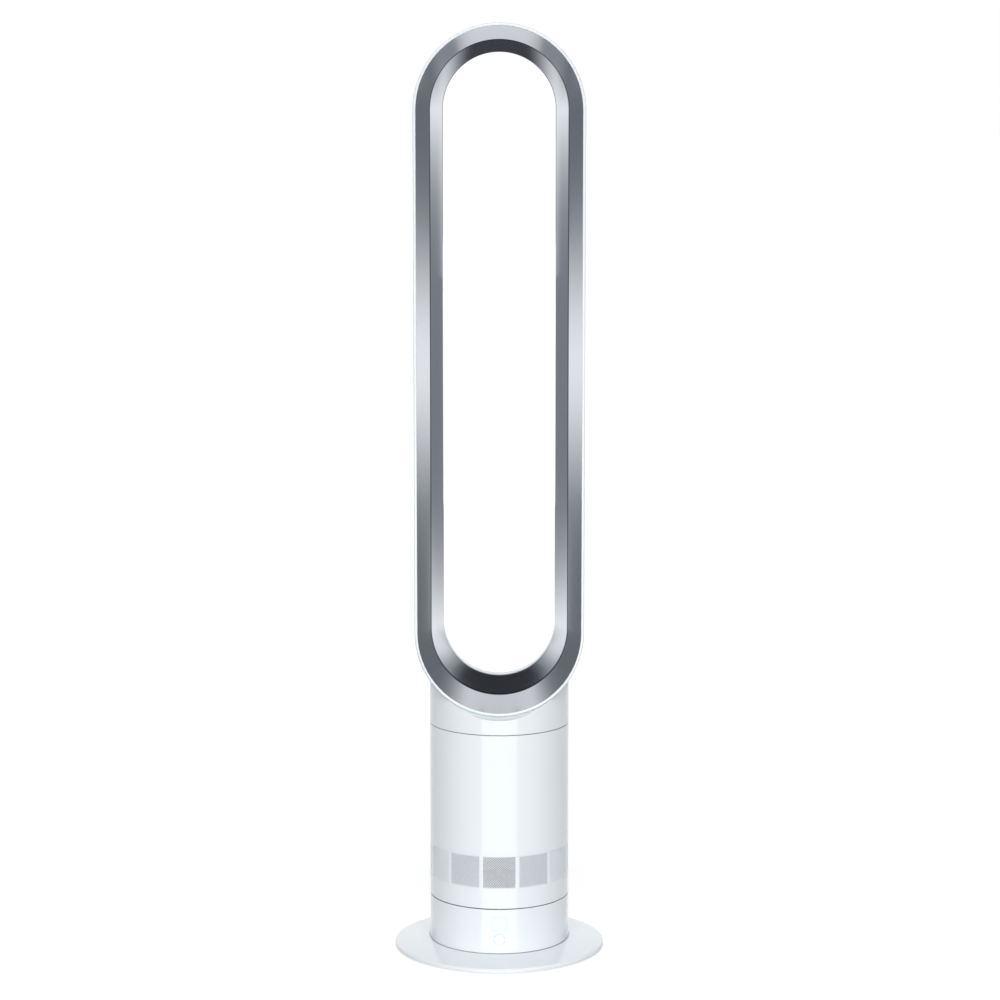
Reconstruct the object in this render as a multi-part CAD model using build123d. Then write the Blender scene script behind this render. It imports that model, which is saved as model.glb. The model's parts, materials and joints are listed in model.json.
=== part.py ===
from build123d import *
import math
import os

# Bladeless tower fan. Millimetres, +Z up, the fan faces -Y.
# The origin is on the floor, under the centre of the round foot.

# ---- overall ----
BODY_R = 76.0              # outside radius of the three stacked drums
BODY_WALL = 2.5
SEAM_GAP = 0.8             # open seam between the standing and the turning drum
LOCK_SEAM_GAP = 0.6        # open seam under the loop's collar
MID_SEAM_Z = 60.0          # centre of the swivel seam
TOP_SEAM_Z = 251.9         # centre of the seam under the collar
EDGE_R = 0.5               # rounding of the drums' visible edges
INNER_R = BODY_R - BODY_WALL
LOWER_TOP_Z = MID_SEAM_Z - SEAM_GAP / 2
MAIN_LOW_Z = MID_SEAM_Z + SEAM_GAP / 2
MAIN_TOP_Z = TOP_SEAM_Z - LOCK_SEAM_GAP / 2
NECK_LOW_Z = TOP_SEAM_Z + LOCK_SEAM_GAP / 2
FIT = 0.1                  # clearance of parts that slip into each other
RUN = 0.05                 # radial clearance of shafts and hubs that turn
QUARTER = 90.0             # quarter turn, in degrees
OVER = 1.0                 # how far a cutter passes, or a rib enters, the face it meets
SCREW_TIP = 1.0            # space or solid left past the end of a blind screw

# ---- foot ----
FOOT_R = 115.0
FOOT_CLEAR_Z = 1.2         # underside of the foot above the floor
FOOT_RIM_Z = 5.2           # top of the rim
FOOT_SEAT_Z = 10.5         # where the lower drum stands
FOOT_BULGE = 0.7           # how far the domed top stands above a straight cone
FOOT_SHELL = 2.5
FOOT_EDGE = 1.6            # size of the rim's rounded top edge
PLINTH_WALL = 2.6
PLINTH_TOP_Z = 14.0
FLOOR_TOP_Z = 8.0
FLOOR_LOW_Z = 5.5
FLOOR_EDGE = 14.0          # flat floor past the drum
FLOOR_R = BODY_R + FLOOR_EDGE
RIM_WALL = 2.6
RIM_IN_R = FOOT_R - RIM_WALL
FOOT_RIBS = 12
FOOT_RIB_T = 1.5

BALLAST_EDGE = 2.0
BALLAST_R = FLOOR_R - BALLAST_EDGE
BALLAST_IN_R = 30.0
COVER_TOP_Z = 2.7          # top of the closing plate, where the ballast lies on it
PAD_EDGE = 4.4             # from the rim's inside to the pads
PAD_W = 10.0
PAD_OUT_R = RIM_IN_R - PAD_EDGE
PAD_IN_R = PAD_OUT_R - PAD_W
PAD_GROOVE = 0.8
PAD_COUNT = 6
PAD_SPAN = 50.0
PAD_FIRST = 30.0
PAD_SIDE = 0.2             # side clearance of a pad in its groove

# ---- screw posts that join the foot, the lower drum and the deck ----
POST_COUNT = 4
POST_FIRST = 45.0
POST_IN = 3.0              # post centre from the drum's inside
POST_CENTRE_R = INNER_R - POST_IN
POST_R = 4.0
POST_LOW_Z = 14.2
SCREW_R = 1.9
SCREW_HEAD_R = 2.9
SCREW_HEAD_H = 1.4
SCREW_HOLE_R = 2.2
FOOT_SCREW_TOP_Z = 26.0
DECK_DROP = 9.1            # underside of the deck below the lower drum's top
DECK_LOW_Z = LOWER_TOP_Z - DECK_DROP
DECK_SCREW_IN = 10.5
DECK_SCREW_LOW_Z = DECK_LOW_Z - DECK_SCREW_IN

# ---- power button, display window and receiver ----
BUTTON_Z = 26.2
BUTTON_R = 5.9
BUTTON_GAP = 0.3
BUTTON_TRAVEL = 0.8
BUTTON_FLANGE_R = 7.2
BUTTON_FLANGE_T = 1.2
BUTTON_FLANGE_GAP = 0.2
BUTTON_STEM_R = 2.5
WINDOW_Z = 43.6
WINDOW_W = 16.6
WINDOW_H = 15.0
WINDOW_CORNER = 2.0
WINDOW_FLANGE = 1.5
WINDOW_FLANGE_T = 1.0
NOTCH_HALF_W = 12.0        # clearance cut behind the window in ledge and deck

BOARD_BACK = 9.5           # board face from the drum's inside
BOARD_FRONT_Y = BOARD_BACK - INNER_R
BOARD_T = 1.6
BOARD_HALF_W = 27.0
BOARD_LOW_Z = 16.0
BOARD_HIGH_Z = 49.0
STANDOFF_X = 24.0
STANDOFF_SIZE = 4.0
STANDOFF_ZS = (21.0, 42.0)
DISPLAY_W = 10.4
DISPLAY_H = 11.8
DISPLAY_X = -2.8
DISPLAY_DEPTH = 7.8
RECEIVER_W = 4.6
RECEIVER_H = 6.0
RECEIVER_X = 5.6
RECEIVER_DEPTH = 5.0
RECEIVER_LENS_R = 1.8
SWITCH_W = 6.0
SWITCH_DEPTH = 4.3
SWITCH_PLUNGER_R = 1.75
SWITCH_PLUNGER_L = 1.2
SWITCH_SPARE = 0.1         # gap left between stem and plunger at full travel
SWITCH_REST_GAP = SWITCH_SPARE + BUTTON_TRAVEL
STEM_END_Y = BOARD_FRONT_Y - SWITCH_DEPTH - SWITCH_PLUNGER_L - SWITCH_REST_GAP

# ---- power board ----
SUPPLY_LOW_Z = 16.0
SUPPLY_SIDE_GAP = 33.5     # board edge from the drum's inside
SUPPLY_HALF_X = INNER_R - SUPPLY_SIDE_GAP
SUPPLY_LOW_Y = -25.0
SUPPLY_BACK_GAP = 28.5
SUPPLY_HIGH_Y = INNER_R - SUPPLY_BACK_GAP
SUPPLY_POST_R = 3.5
SUPPLY_POST_IN = 5.0
COIL_BLOCK = (22.0, 18.0, 12.0)
COIL_BLOCK_AT = (-20.0, 10.0)
CAN_R = 6.0
CAN_H = 12.0
CAN_SPOTS = ((16.0, -8.0), (30.0, 14.0))
SOCKET_BLOCK = (14.0, 9.0, 9.0)
SOCKET_AT = (10.0, 38.0)

# ---- cord outlet at the back ----
GLAND_Z = 24.0
GLAND_HOLE_R = 5.6
GLAND_BORE_R = 3.2
GLAND_FLANGE_R = 7.5
GLAND_FLANGE_T = 1.5
GLAND_OUT = 9.0            # how far the tapered boot stands behind the drum
GLAND_TIP_R = 4.6
GLAND_IN = 5.4
GLAND_COLLAR = 1.5
GLAND_SAG = 0.8            # how far the collar keeps behind the curved wall
GLAND_SHOULDER = 0.6

# ---- deck and swivel ----
LEDGE_W = 3.5
LEDGE_IN_R = INNER_R - LEDGE_W
LEDGE_T = 2.5
DECK_T = 2.5
DECK_TOP_Z = DECK_LOW_Z + DECK_T
DECK_BOSS_H = 6.5
DECK_BOSS_LOW_Z = DECK_LOW_Z - DECK_BOSS_H
DECK_RIB_H = 3.0
DECK_RIB_T = 2.0
DECK_RIB_GAP = 9.0         # rib end from the posts' centres
DECK_RIB_END_R = POST_CENTRE_R - DECK_RIB_GAP
DECK_RIB_ANGLES = (0.0, 45.0, 135.0, 180.0, 225.0, 270.0, 315.0)
HUB_END = 3.0              # how far the hub passes the deck's boss
HUB_LOW_Z = DECK_BOSS_LOW_Z - HUB_END
THRUST_W = 7.0
THRUST_GAP_R = 8.0         # thrust ring from the posts' centres
THRUST_OUT_R = POST_CENTRE_R - THRUST_GAP_R
THRUST_IN_R = THRUST_OUT_R - THRUST_W
THRUST_T = 1.5
THRUST_GAP = 0.1
SKIRT_INSET = 0.5
TABLE_LIFT = 0.4           # turntable above the drum's lower edge
TABLE_LOW_Z = MAIN_LOW_Z + TABLE_LIFT
TABLE_T = 2.5
TABLE_TOP_Z = TABLE_LOW_Z + TABLE_T
TABLE_RIBS = 6
TABLE_RIB_FIRST = 22.0
TABLE_RIB_H = 3.0
TABLE_RIB_T = 2.0
TABLE_RIB_GAP = 9.5        # rib end from the drum's inside
TABLE_RIB_END_R = INNER_R - TABLE_RIB_GAP
CLIP_LAND = 1.6            # hub left below the retaining ring
CLIP_LOW_Z = HUB_LOW_Z + CLIP_LAND
CLIP_T = 1.2
CLIP_DEPTH = 1.2
CLIP_SPAN = 320.0

# ---- swivel drive ----
MODULE = 1.0
SECTOR_LAND = 7.5          # from the pitch line to the thrust ring's inside
RING_TEETH = 2 * round((THRUST_IN_R - SECTOR_LAND) / MODULE)
PINION_TEETH = 16
PITCH_RING_R = MODULE * RING_TEETH / 2
PITCH_PINION_R = MODULE * PINION_TEETH / 2
PINION_Y = PITCH_RING_R - PITCH_PINION_R
PRESSURE_DEG = 20.0
ADDENDUM = 0.8
DEDENDUM = 1.25
BACKLASH = 0.12            # taken off each tooth's thickness
FLANK_POINTS = 3
SECTOR_TEETH = 28
SECTOR_RIM = 6.0           # sector's back from the pitch line
SECTOR_OUT_R = PITCH_RING_R + SECTOR_RIM
SECTOR_END = 1.5           # solid land past the last space, degrees
SECTOR_T = 6.0
SECTOR_SCREWS = (-45.0, 0.0, 45.0)
SECTOR_SCREW_OUT = 3.7
SECTOR_SCREW_AT_R = PITCH_RING_R + SECTOR_SCREW_OUT
SMALL_SCREW_R = 1.4
SMALL_HEAD_R = 2.6
SMALL_HEAD_H = 1.5
SMALL_HOLE_R = 1.6
PINION_GAP = 1.0           # pinion above the deck
PINION_LOW_Z = DECK_TOP_Z + PINION_GAP
PINION_H = 5.6
PINION_SHAFT_R = 2.5
PINION_SHAFT_IN = 5.5
PINION_SHAFT_LOW_Z = DECK_LOW_Z - PINION_SHAFT_IN
PINION_SHAFT_OVER = 0.6
PINION_SHAFT_HIGH_Z = PINION_LOW_Z + PINION_H + PINION_SHAFT_OVER
SWIVEL_MOTOR_R = 14.0
SWIVEL_MOTOR_H = 17.5
SWIVEL_MOTOR_LOW_Z = DECK_LOW_Z - SWIVEL_MOTOR_H
SWIVEL_EDGE_R = 1.5
SWIVEL_BOSS_R = 6.0
SWIVEL_BOSS_H = 2.0
SWIVEL_EAR_HALF = 21.0
SWIVEL_EAR_W = 8.0
SWIVEL_EAR_T = 1.0
SWIVEL_SCREW_X = 17.5
SWIVEL_SCREW_IN = 4.5
SWIVEL_SCREW_LOW_Z = DECK_LOW_Z - SWIVEL_SCREW_IN
SHAFT_END_GAP = 0.5
SWIVEL_MOTOR_GAP = 4.0     # motor from the deck's boss
DECK_BOSS_R = PINION_Y - SWIVEL_MOTOR_R - SWIVEL_MOTOR_GAP
DECK_BOSS_WALL = 4.0
HUB_R = DECK_BOSS_R - DECK_BOSS_WALL
SWIVEL_HUB_WALL = 4.0
HUB_BORE_R = HUB_R - SWIVEL_HUB_WALL
CLIP_REACH = 3.2           # how far the retaining ring stands out of the hub
CLIP_OUT_R = HUB_R + CLIP_REACH

# ---- main drum and grille ----
HOUSING_POSTS = 4
HOUSING_POST_R = 4.0
HOUSING_POST_IN = 3.5      # post centre from the drum's inside
HOUSING_POST_CENTRE_R = INNER_R - HOUSING_POST_IN
HOUSING_POST_RISE = 15.2
HOUSING_POST_TOP_Z = TABLE_LOW_Z + HOUSING_POST_RISE
HOUSING_POST_CAP = 2.0
HOUSING_HOLE_TOP_Z = HOUSING_POST_TOP_Z - HOUSING_POST_CAP
WINDOWS = 12
GRILLE_LOW_Z = 83.1
GRILLE_HIGH_Z = 118.4
GRILLE_BAR = 3.3
GRILLE_T = 1.6             # how far a panel stands in behind the drum's wall
GRILLE_FRAME = 2.4         # how far a panel's frame passes its window above and below
GRILLE_SIDE = 1.2          # the same at each side
GRILLE_LEDGE_T = 2.0
GRILLE_LEDGE_IN = 1.5
GRILLE_RECESS = 0.15       # panel face behind the drum's face
HOLE_HALF_W = 2.3
HOLE_HALF_H = 2.7
HOLE_COLUMNS = 4
HOLE_ROWS = 5
HOLE_MARGIN = 1.4          # solid edge round the holes of a panel

# ---- air duct ----
DUCT_LEDGE_LIFT = 4.1      # duct's ledge above the windows
DUCT_LEDGE_LOW_Z = GRILLE_HIGH_Z + DUCT_LEDGE_LIFT
DUCT_LEDGE_T = 2.0
DUCT_LEDGE_W = 3.0
DUCT_LEDGE_IN_R = INNER_R - DUCT_LEDGE_W
DUCT_SEAL_T = 2.0
SEAL_TOP_Z = DUCT_LEDGE_LOW_Z + DUCT_LEDGE_T + DUCT_SEAL_T
DUCT_FLANGE_T = 2.0
DUCT_WALL = 2.2
BELL_DEPTH = 7.5
THROAT_Z = SEAL_TOP_Z + BELL_DEPTH
INLET_R = 46.0
BELL_FLARE = 14.0          # how far the bellmouth opens past the inlet
BELL_LIP_R = INLET_R + BELL_FLARE
INLET_L = 7.0
INLET_TOP_Z = THROAT_Z + INLET_L
BELL_EDGE_R = 3.0
SHROUD_BEND_R = 6.0
DUCT_SPACE = 11.5          # outer duct from the drum's inside
DUCT_R = INNER_R - DUCT_SPACE
DUCT_STEP = 1.0
IMPELLER_END_R = DUCT_R - DUCT_STEP
SHROUD_H = 29.0
IMPELLER_END_Z = INLET_TOP_Z + SHROUD_H
VANE_LIFT = 6.0            # vanes' sleeves above the impeller's end
DIFFUSER_LOW_Z = IMPELLER_END_Z + VANE_LIFT
SPIGOT_L = 9.2
SPIGOT_LOW_Z = NECK_LOW_Z - SPIGOT_L
SPIGOT_SEAT = 3.0          # room under the spigot for its seal
DUCT_TOP_Z = SPIGOT_LOW_Z - SPIGOT_SEAT
FOAM_SHELF_LIFT = 10.0
FOAM_SHELF_Z = IMPELLER_END_Z + FOAM_SHELF_LIFT
FOAM_SHELF_GAP = 3.5       # shelf from the drum's inside
FOAM_SHELF_R = INNER_R - FOAM_SHELF_GAP
FOAM_GAP = 0.3
FOAM_TOP_GAP = 4.0
FOAM_TOP_Z = DUCT_TOP_Z - FOAM_TOP_GAP

# ---- impeller ----
BLADES = 11
BLADE_T = 1.6
TIP_GAP = 0.6
BLADE_ENTRY = 2.0          # how far the blades reach down into the inlet
BLADE_LOW_Z = INLET_TOP_Z - BLADE_ENTRY
BLADE_ROOT = (9.0, 0.0)    # three points of a blade's curve, seen from above
BLADE_MIDDLE = (38.0, 11.0)
BLADE_TIP = (54.0, 36.0)
BLADE_SHIFT_DEG = 120.0    # the way from a blade's one face to its other
HUB_NOSE_L = 3.0
HUB_NOSE_Z = BLADE_LOW_Z - HUB_NOSE_L
HUB_NOSE_R = 11.0
HUB_BEND_LOW_AT = (18.0, 11.0)   # radius, and height above the nose
HUB_BEND_LOW = (HUB_BEND_LOW_AT[0], HUB_NOSE_Z + HUB_BEND_LOW_AT[1])
HUB_BEND_HIGH_AT = (31.0, 25.0)
HUB_BEND_HIGH = (HUB_BEND_HIGH_AT[0], HUB_NOSE_Z + HUB_BEND_HIGH_AT[1])
HUB_END_R = 43.4
HUB_RIM_T = 2.5
HUB_WALL = 3.0
HUB_CORE_R = 10.0
HUB_CORE_LIFT = 14.0
HUB_CORE_LOW_Z = HUB_NOSE_Z + HUB_CORE_LIFT
HUB_CORE_H = 16.0
HUB_CORE_HIGH_Z = HUB_CORE_LOW_Z + HUB_CORE_H
HUB_EDGE_R = 3.0
HUB_BEND_R = 15.0
SHAFT_R = 4.0
SHAFT_NUT_END = 5.0        # shaft past the hub's nose, for the nut
SHAFT_LOW_Z = HUB_NOSE_Z - SHAFT_NUT_END
NUT_R = 7.0
NUT_H = 3.5

# ---- motor ----
BUCKET_R = 44.0
BUCKET_WALL = 2.5
BUCKET_GAP = 2.0           # bucket above the impeller's end
BUCKET_LOW_Z = IMPELLER_END_Z + BUCKET_GAP
LOWER_BEARING_LIP = 2.0
LOWER_BEARING_Z = BUCKET_LOW_Z + LOWER_BEARING_LIP
STATOR_LIFT = 13.0
STATOR_LOW_Z = BUCKET_LOW_Z + STATOR_LIFT
STATOR_H = 14.0
STATOR_HEADROOM = 4.0
BUCKET_SPLIT_Z = STATOR_LOW_Z + STATOR_H + STATOR_HEADROOM
UPPER_BEARING_LIFT = 3.0
UPPER_BEARING_Z = BUCKET_SPLIT_Z + UPPER_BEARING_LIFT
SHAFT_TOP_END = 8.5        # shaft above the upper bearing's seat
SHAFT_HIGH_Z = UPPER_BEARING_Z + SHAFT_TOP_END
BUCKET_HOLE_R = 8.5
BUCKET_FLOOR_T = 2.5
BUCKET_EDGE_R = 3.0
STATOR_SEAT_IN_R = 28.5
BEARING_R = 11.0
BEARING_H = 7.0
BEARING_CUP_WALL = 3.0
BEARING_INNER_T = 2.2      # radial thickness of a bearing's inner ring
BEARING_OUTER_T = 1.6
BEARING_GROOVE = 0.4
CAP_WALL = 2.2
CAP_WEB_T = 2.0
CAP_CROWN = 1.5            # how far the cap's top rises over its last bend
CAP_BEND_R = 10.0
CAP_SIDE_H = 6.0
CAP_SHOULDER_Z = UPPER_BEARING_Z + CAP_SIDE_H
CAP_MID_IN = 10.0
CAP_MID_R = BUCKET_R - CAP_MID_IN
CAP_CONE_H = 17.0
CAP_MID_Z = CAP_SHOULDER_Z + CAP_CONE_H
CAP_TOP_R = 14.0
CAP_DOME_H = 9.5
CAP_TOP_Z = CAP_MID_Z + CAP_DOME_H
STATOR_R = 32.0
YOKE_IN_R = 26.5
TEETH = 9
TOOTH_W = 5.0
SHOE_R = 17.5
SHOE_SPAN = 30.0
STATOR_BORE_R = 15.6
COIL_IN_R = 18.0
COIL_OUT_R = 26.0
COIL_W = 9.5
COIL_OVER = 2.5
COIL_CORNER_R = 2.3
MAGNET_R = 15.0
MOTOR_BOARD_LIFT = 13.0
MOTOR_BOARD_Z = BUCKET_SPLIT_Z + MOTOR_BOARD_LIFT
MOTOR_BOARD_GAP = 16.0     # board edge from the bucket's outside
MOTOR_BOARD_R = BUCKET_R - MOTOR_BOARD_GAP
MOTOR_BOARD_IN_R = 6.0
BOARD_POST_R = 2.5
BOARD_POST_EDGE = 4.0
BOARD_POST_AT_R = MOTOR_BOARD_R - BOARD_POST_EDGE
BOARD_POSTS = 3
BOARD_CAN_R = 4.0
BOARD_CAN_H = 6.5
BOARD_CAN_AT_R = 16.0

# ---- diffuser vanes round the motor ----
VANES = 9
VANE_T = 1.5
VANE_H = 24.0
VANE_LEAN = 10.0
VANE_END_GAP = 1.0
VANE_BEND = (0.3, 0.42)    # where the bend lies, as shares of the lean and the height
SLEEVE_T = 1.5

# ---- bayonet lock between the main drum and the loop ----
SPIGOT_GAP = 4.2           # spigot from the drum's inside
SPIGOT_OUT_R = INNER_R - SPIGOT_GAP
SPIGOT_WALL = 2.8
SPIGOT_IN_R = SPIGOT_OUT_R - SPIGOT_WALL
LUGS = 3
LUG_FIRST = 90.0
LUG_REACH = 2.2
LUG_R = SPIGOT_OUT_R + LUG_REACH
LUG_H = 3.2
LUG_SPAN = 16.0
LOCK_RING_WALL = 1.5       # measured from the drum's inside
LOCK_RING_IN_R = INNER_R - LOCK_RING_WALL
LOCK_RING_DROP = 1.1
LOCK_RING_TOP_Z = MAIN_TOP_Z - LOCK_RING_DROP
LOCK_FLANGE_W = 2.9
LOCK_FLANGE_IN_R = INNER_R - LOCK_FLANGE_W
LOCK_FLANGE_T = 1.8
TAB_CLEAR = 0.4            # tab from the spigot
TAB_IN_R = SPIGOT_OUT_R + TAB_CLEAR
TAB_GAP = 0.2
TAB_H = 2.6
TAB_SPAN = 24.0
STOP_SPAN = 3.0
STOP_GAP = 0.6
LOOP_SEAL_T = 2.8
LOOP_SEAL_W = 3.6

# ---- loop ----
LOOP_R = 91.0              # half width, and outside radius of both ends
LOOP_LIFT = 15.8           # lowest point of the loop above the collar's foot
LOOP_LEG_L = 557.0
LOOP_LOW_Z = NECK_LOW_Z + LOOP_LIFT + LOOP_R  # centre of the bottom half turn
LOOP_HIGH_Z = LOOP_LOW_Z + LOOP_LEG_L
LOOP_FRONT_Y = -55.0
LOOP_WIDEST_Y = 12.0       # where the straight outer wall meets the curled back
LOOP_BACK_Y = 55.0
CREST_IN = 16.0            # rearmost line from the outside
CREST_R = LOOP_R - CREST_IN
LOOP_WALL = 3.2
LOOP_INNER_R = LOOP_R - LOOP_WALL
RIM_OUT_R = 1.6
RIM_IN_FILLET = 0.8
TONGUE_T = 1.4
TONGUE_L = 4.0
COVER_WALL = 2.6
LIP_IN = 30.0
LIP_R = LOOP_R - LIP_IN
CURL_DEPTH = 21.0          # lip ahead of the rearmost line
LIP_Y = LOOP_BACK_Y - CURL_DEPTH
LIP_L = 4.4
LIP_TIP_Y = LIP_Y - LIP_L
LIP_TIP_T = 0.7
LIP_WALL = 1.6
LIP_LEAN = 0.2
BEZEL_RECESS = 0.6
BEZEL_T = 1.8
BAND_IN = 17.3             # where the two bands meet, from the outside
BAND_R = LOOP_R - BAND_IN
BAND_DEPTH = 35.4
BAND_Y = LOOP_FRONT_Y + BAND_DEPTH
BAND_GAP = 0.6
BAND_LEG_T = 3.0
BAND_LEG_L = 9.0
BAND_LEG_INSET = 1.4
THROAT_STEP = 0.4          # throat inside the lip
THROAT_R = LIP_R - THROAT_STEP
THROAT_AHEAD = 12.0
THROAT_Y = LIP_Y - THROAT_AHEAD
NOSE_R = 12.0
NOSE_END_DEG = 112.0
DIFFUSER_WALL = 2.5
SPACER_T = 2.0
SPACER_FRONT = 0.3
SPACER_LOW_Y = LIP_TIP_Y + SPACER_FRONT
SPACER_BACK = 0.4
SPACER_HIGH_Y = LIP_Y + SPACER_BACK
SPACER_OUT = 5.4
SPACER_OUT_R = LIP_R + SPACER_OUT
SPACER_IN = 0.4
SPACER_IN_R = LIP_R + SPACER_IN
LEG_SPACERS = 5
END_SPACERS = 3

# ---- neck ----
NECK_WALL = 3.0
NECK_FLOOR_T = 2.6
NECK_FLOOR_Z = NECK_LOW_Z + NECK_FLOOR_T
PORT_HALF_W = 42.0
PORT_FRONT_Y = -34.0
PORT_BACK_Y = 8.0
LOOP_SCREW_TILT = 34.0
LOOP_SCREW_YS = (-28.0, 4.0)
LOOP_SCREW_R = 1.7
LOOP_SCREW_IN = 7.0
LOOP_BOSS_R = 3.6
DIVIDER_LIFT = 2.2
DIVIDER_LOW_Z = NECK_FLOOR_Z + DIVIDER_LIFT
DIVIDER_RISE = 6.0         # wedge's top above the loop's lowest point
DIVIDER_HIGH_Z = LOOP_LOW_Z - LOOP_R + DIVIDER_RISE
DIVIDER_T = 3.0
DIVIDER_TOP_T = 9.0
DIVIDER_NOSE = 3.0
DIVIDER_FLARE = 6.0


# ---- helpers ----
def ring(inner, outer, low, high):
    """Flat ring about the vertical axis."""
    return Pos(0, 0, low) * extrude(Circle(outer) - Circle(inner), high - low)


def disc(radius, low, high):
    return Pos(0, 0, low) * extrude(Circle(radius), high - low)


def pin(x, y, radius, low, high):
    """Upright cylinder at a spot."""
    return Pos(x, y, low) * extrude(Circle(radius), high - low)


def block(low, high):
    """Box between two corners."""
    size = [b - a for a, b in zip(low, high)]
    middle = [(a + b) / 2 for a, b in zip(low, high)]
    return Pos(*middle) * Box(*size)


def cross_pin(radius, z, near_y, far_y):
    """Cylinder along Y on the middle plane."""
    return Pos(0, near_y, z) * Rot(-90, 0, 0) * extrude(Circle(radius), far_y - near_y)


def sector(inner, outer, low, high, middle_deg, span_deg):
    """Part of a ring, centred on an angle counted from +X."""
    outline = Pos((inner + outer) / 2, (low + high) / 2) * Rectangle(outer - inner, high - low)
    return Rot(0, 0, middle_deg - span_deg / 2) * revolve(Plane.XZ * outline, Axis.Z, span_deg)


def turned(points, radii=0.0):
    """Solid of revolution of a closed outline of (radius, height) points."""
    outline = FilletPolyline(*points, radius=radii, close=True)
    return revolve(Plane.XZ * make_face(outline), Axis.Z, 360)


def around(piece, count, first=0.0):
    """Copies of a piece, evenly spaced about the vertical axis."""
    return [Rot(0, 0, first + 360 * i / count) * piece for i in range(count)]


def drum(low, high):
    """White drum wall with both outer edges rounded."""
    points = [(INNER_R, low), (BODY_R, low), (BODY_R, high), (INNER_R, high)]
    return turned(points, [0, EDGE_R, EDGE_R, 0])


def upright_screw(x, y, shank_r, head_r, seat, shank_end, head_h):
    """Screw along Z: the head lies on the far side of its seat from the shank's end."""
    head_end = seat + head_h if shank_end < seat else seat - head_h
    shank = pin(x, y, shank_r, min(seat, shank_end), max(seat, shank_end))
    return shank + pin(x, y, head_r, min(seat, head_end), max(seat, head_end))


def save(name, piece):
    solids = piece if isinstance(piece, list) else [piece]
    shapes = [s for item in solids for s in item.solids()]
    export_step(Compound(shapes), f"parts/{name}.step")


def post_spots():
    """Centres of the screw posts of the lower drum."""
    for i in range(POST_COUNT):
        angle = math.radians(POST_FIRST + 360 * i / POST_COUNT)
        yield POST_CENTRE_R * math.cos(angle), POST_CENTRE_R * math.sin(angle)


def housing_post_spots():
    """Centres of the screw posts of the main drum."""
    for i in range(HOUSING_POSTS):
        angle = math.radians(360 * i / HOUSING_POSTS)
        yield HOUSING_POST_CENTRE_R * math.cos(angle), HOUSING_POST_CENTRE_R * math.sin(angle)


# ---- foot ----
def foot_dome_z(radius):
    """Height of the foot's top, as a cone without its bulge."""
    share = (radius - BODY_R) / (FOOT_R - FOOT_EDGE - BODY_R)
    return FOOT_SEAT_Z + share * (FOOT_RIM_Z - FOOT_SEAT_Z)


def foot_section():
    edge_r = FOOT_R - FOOT_EDGE
    mid_r = (BODY_R + edge_r) / 2
    plinth_r = INNER_R - FIT
    dome = ThreePointArc(
        (BODY_R, FOOT_SEAT_Z),
        (mid_r, foot_dome_z(mid_r) + FOOT_BULGE),
        (edge_r, FOOT_RIM_Z),
    )
    cut = FOOT_EDGE * (1 - math.sqrt(0.5))
    edge = ThreePointArc(
        (edge_r, FOOT_RIM_Z),
        (FOOT_R - cut, FOOT_RIM_Z - cut),
        (FOOT_R, FOOT_RIM_Z - FOOT_EDGE),
    )
    rest = Polyline(
        (FOOT_R, FOOT_RIM_Z - FOOT_EDGE),
        (FOOT_R, FOOT_CLEAR_Z),
        (RIM_IN_R, FOOT_CLEAR_Z),
        (RIM_IN_R, foot_dome_z(RIM_IN_R) - FOOT_SHELL),
        (FLOOR_R, foot_dome_z(FLOOR_R) - FOOT_SHELL),
        (FLOOR_R, FLOOR_LOW_Z),
        (0, FLOOR_LOW_Z),
        (0, FLOOR_TOP_Z),
        (plinth_r - PLINTH_WALL, FLOOR_TOP_Z),
        (plinth_r - PLINTH_WALL, PLINTH_TOP_Z),
        (plinth_r, PLINTH_TOP_Z),
        (plinth_r, FOOT_SEAT_Z),
        (BODY_R, FOOT_SEAT_Z),
    )
    return make_face([dome, edge, rest])


def supply_post_spots():
    far_x = SUPPLY_HALF_X - SUPPLY_POST_IN
    for y in (SUPPLY_LOW_Y + SUPPLY_POST_IN, SUPPLY_HIGH_Y - SUPPLY_POST_IN):
        yield -far_x, y
        yield far_x, y


def foot_rib():
    """Web under the dome, from the floor's edge to the rim."""
    outline = Polyline(
        (FLOOR_R - OVER, COVER_TOP_Z),
        (RIM_IN_R, COVER_TOP_Z),
        (RIM_IN_R, foot_dome_z(RIM_IN_R) - FOOT_SHELL / 2),
        (FLOOR_R - OVER, foot_dome_z(FLOOR_R) - FOOT_SHELL / 2),
        close=True,
    )
    return extrude(Plane.XZ * make_face(outline), FOOT_RIB_T / 2, both=True)


def foot_disc():
    body = revolve(Plane.XZ * foot_section(), Axis.Z, 360)
    body += around(foot_rib(), FOOT_RIBS)
    body += [pin(x, y, SUPPLY_POST_R, FLOOR_TOP_Z, SUPPLY_LOW_Z) for x, y in supply_post_spots()]
    return body - [pin(x, y, SCREW_HOLE_R, 0, POST_LOW_Z) for x, y in post_spots()]


def ballast_plate():
    plate = ring(BALLAST_IN_R, BALLAST_R, COVER_TOP_Z, FLOOR_LOW_Z)
    return plate - [pin(x, y, SCREW_HOLE_R, 0, POST_LOW_Z) for x, y in post_spots()]


def foot_cover():
    plate = disc(RIM_IN_R - FIT, FOOT_CLEAR_Z, COVER_TOP_Z)
    plate -= ring(PAD_IN_R, PAD_OUT_R, FOOT_CLEAR_Z, FOOT_CLEAR_Z + PAD_GROOVE)
    return plate - [pin(x, y, SCREW_HEAD_R + FIT, 0, POST_LOW_Z) for x, y in post_spots()]


def foot_pads():
    top = FOOT_CLEAR_Z + PAD_GROOVE
    pad = sector(PAD_IN_R + PAD_SIDE, PAD_OUT_R - PAD_SIDE, 0, top, 0, PAD_SPAN)
    return around(pad, PAD_COUNT, PAD_FIRST)


def foot_screws():
    return [
        upright_screw(x, y, SCREW_R, SCREW_HEAD_R, COVER_TOP_Z, FOOT_SCREW_TOP_Z, SCREW_HEAD_H)
        for x, y in post_spots()
    ]


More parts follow.
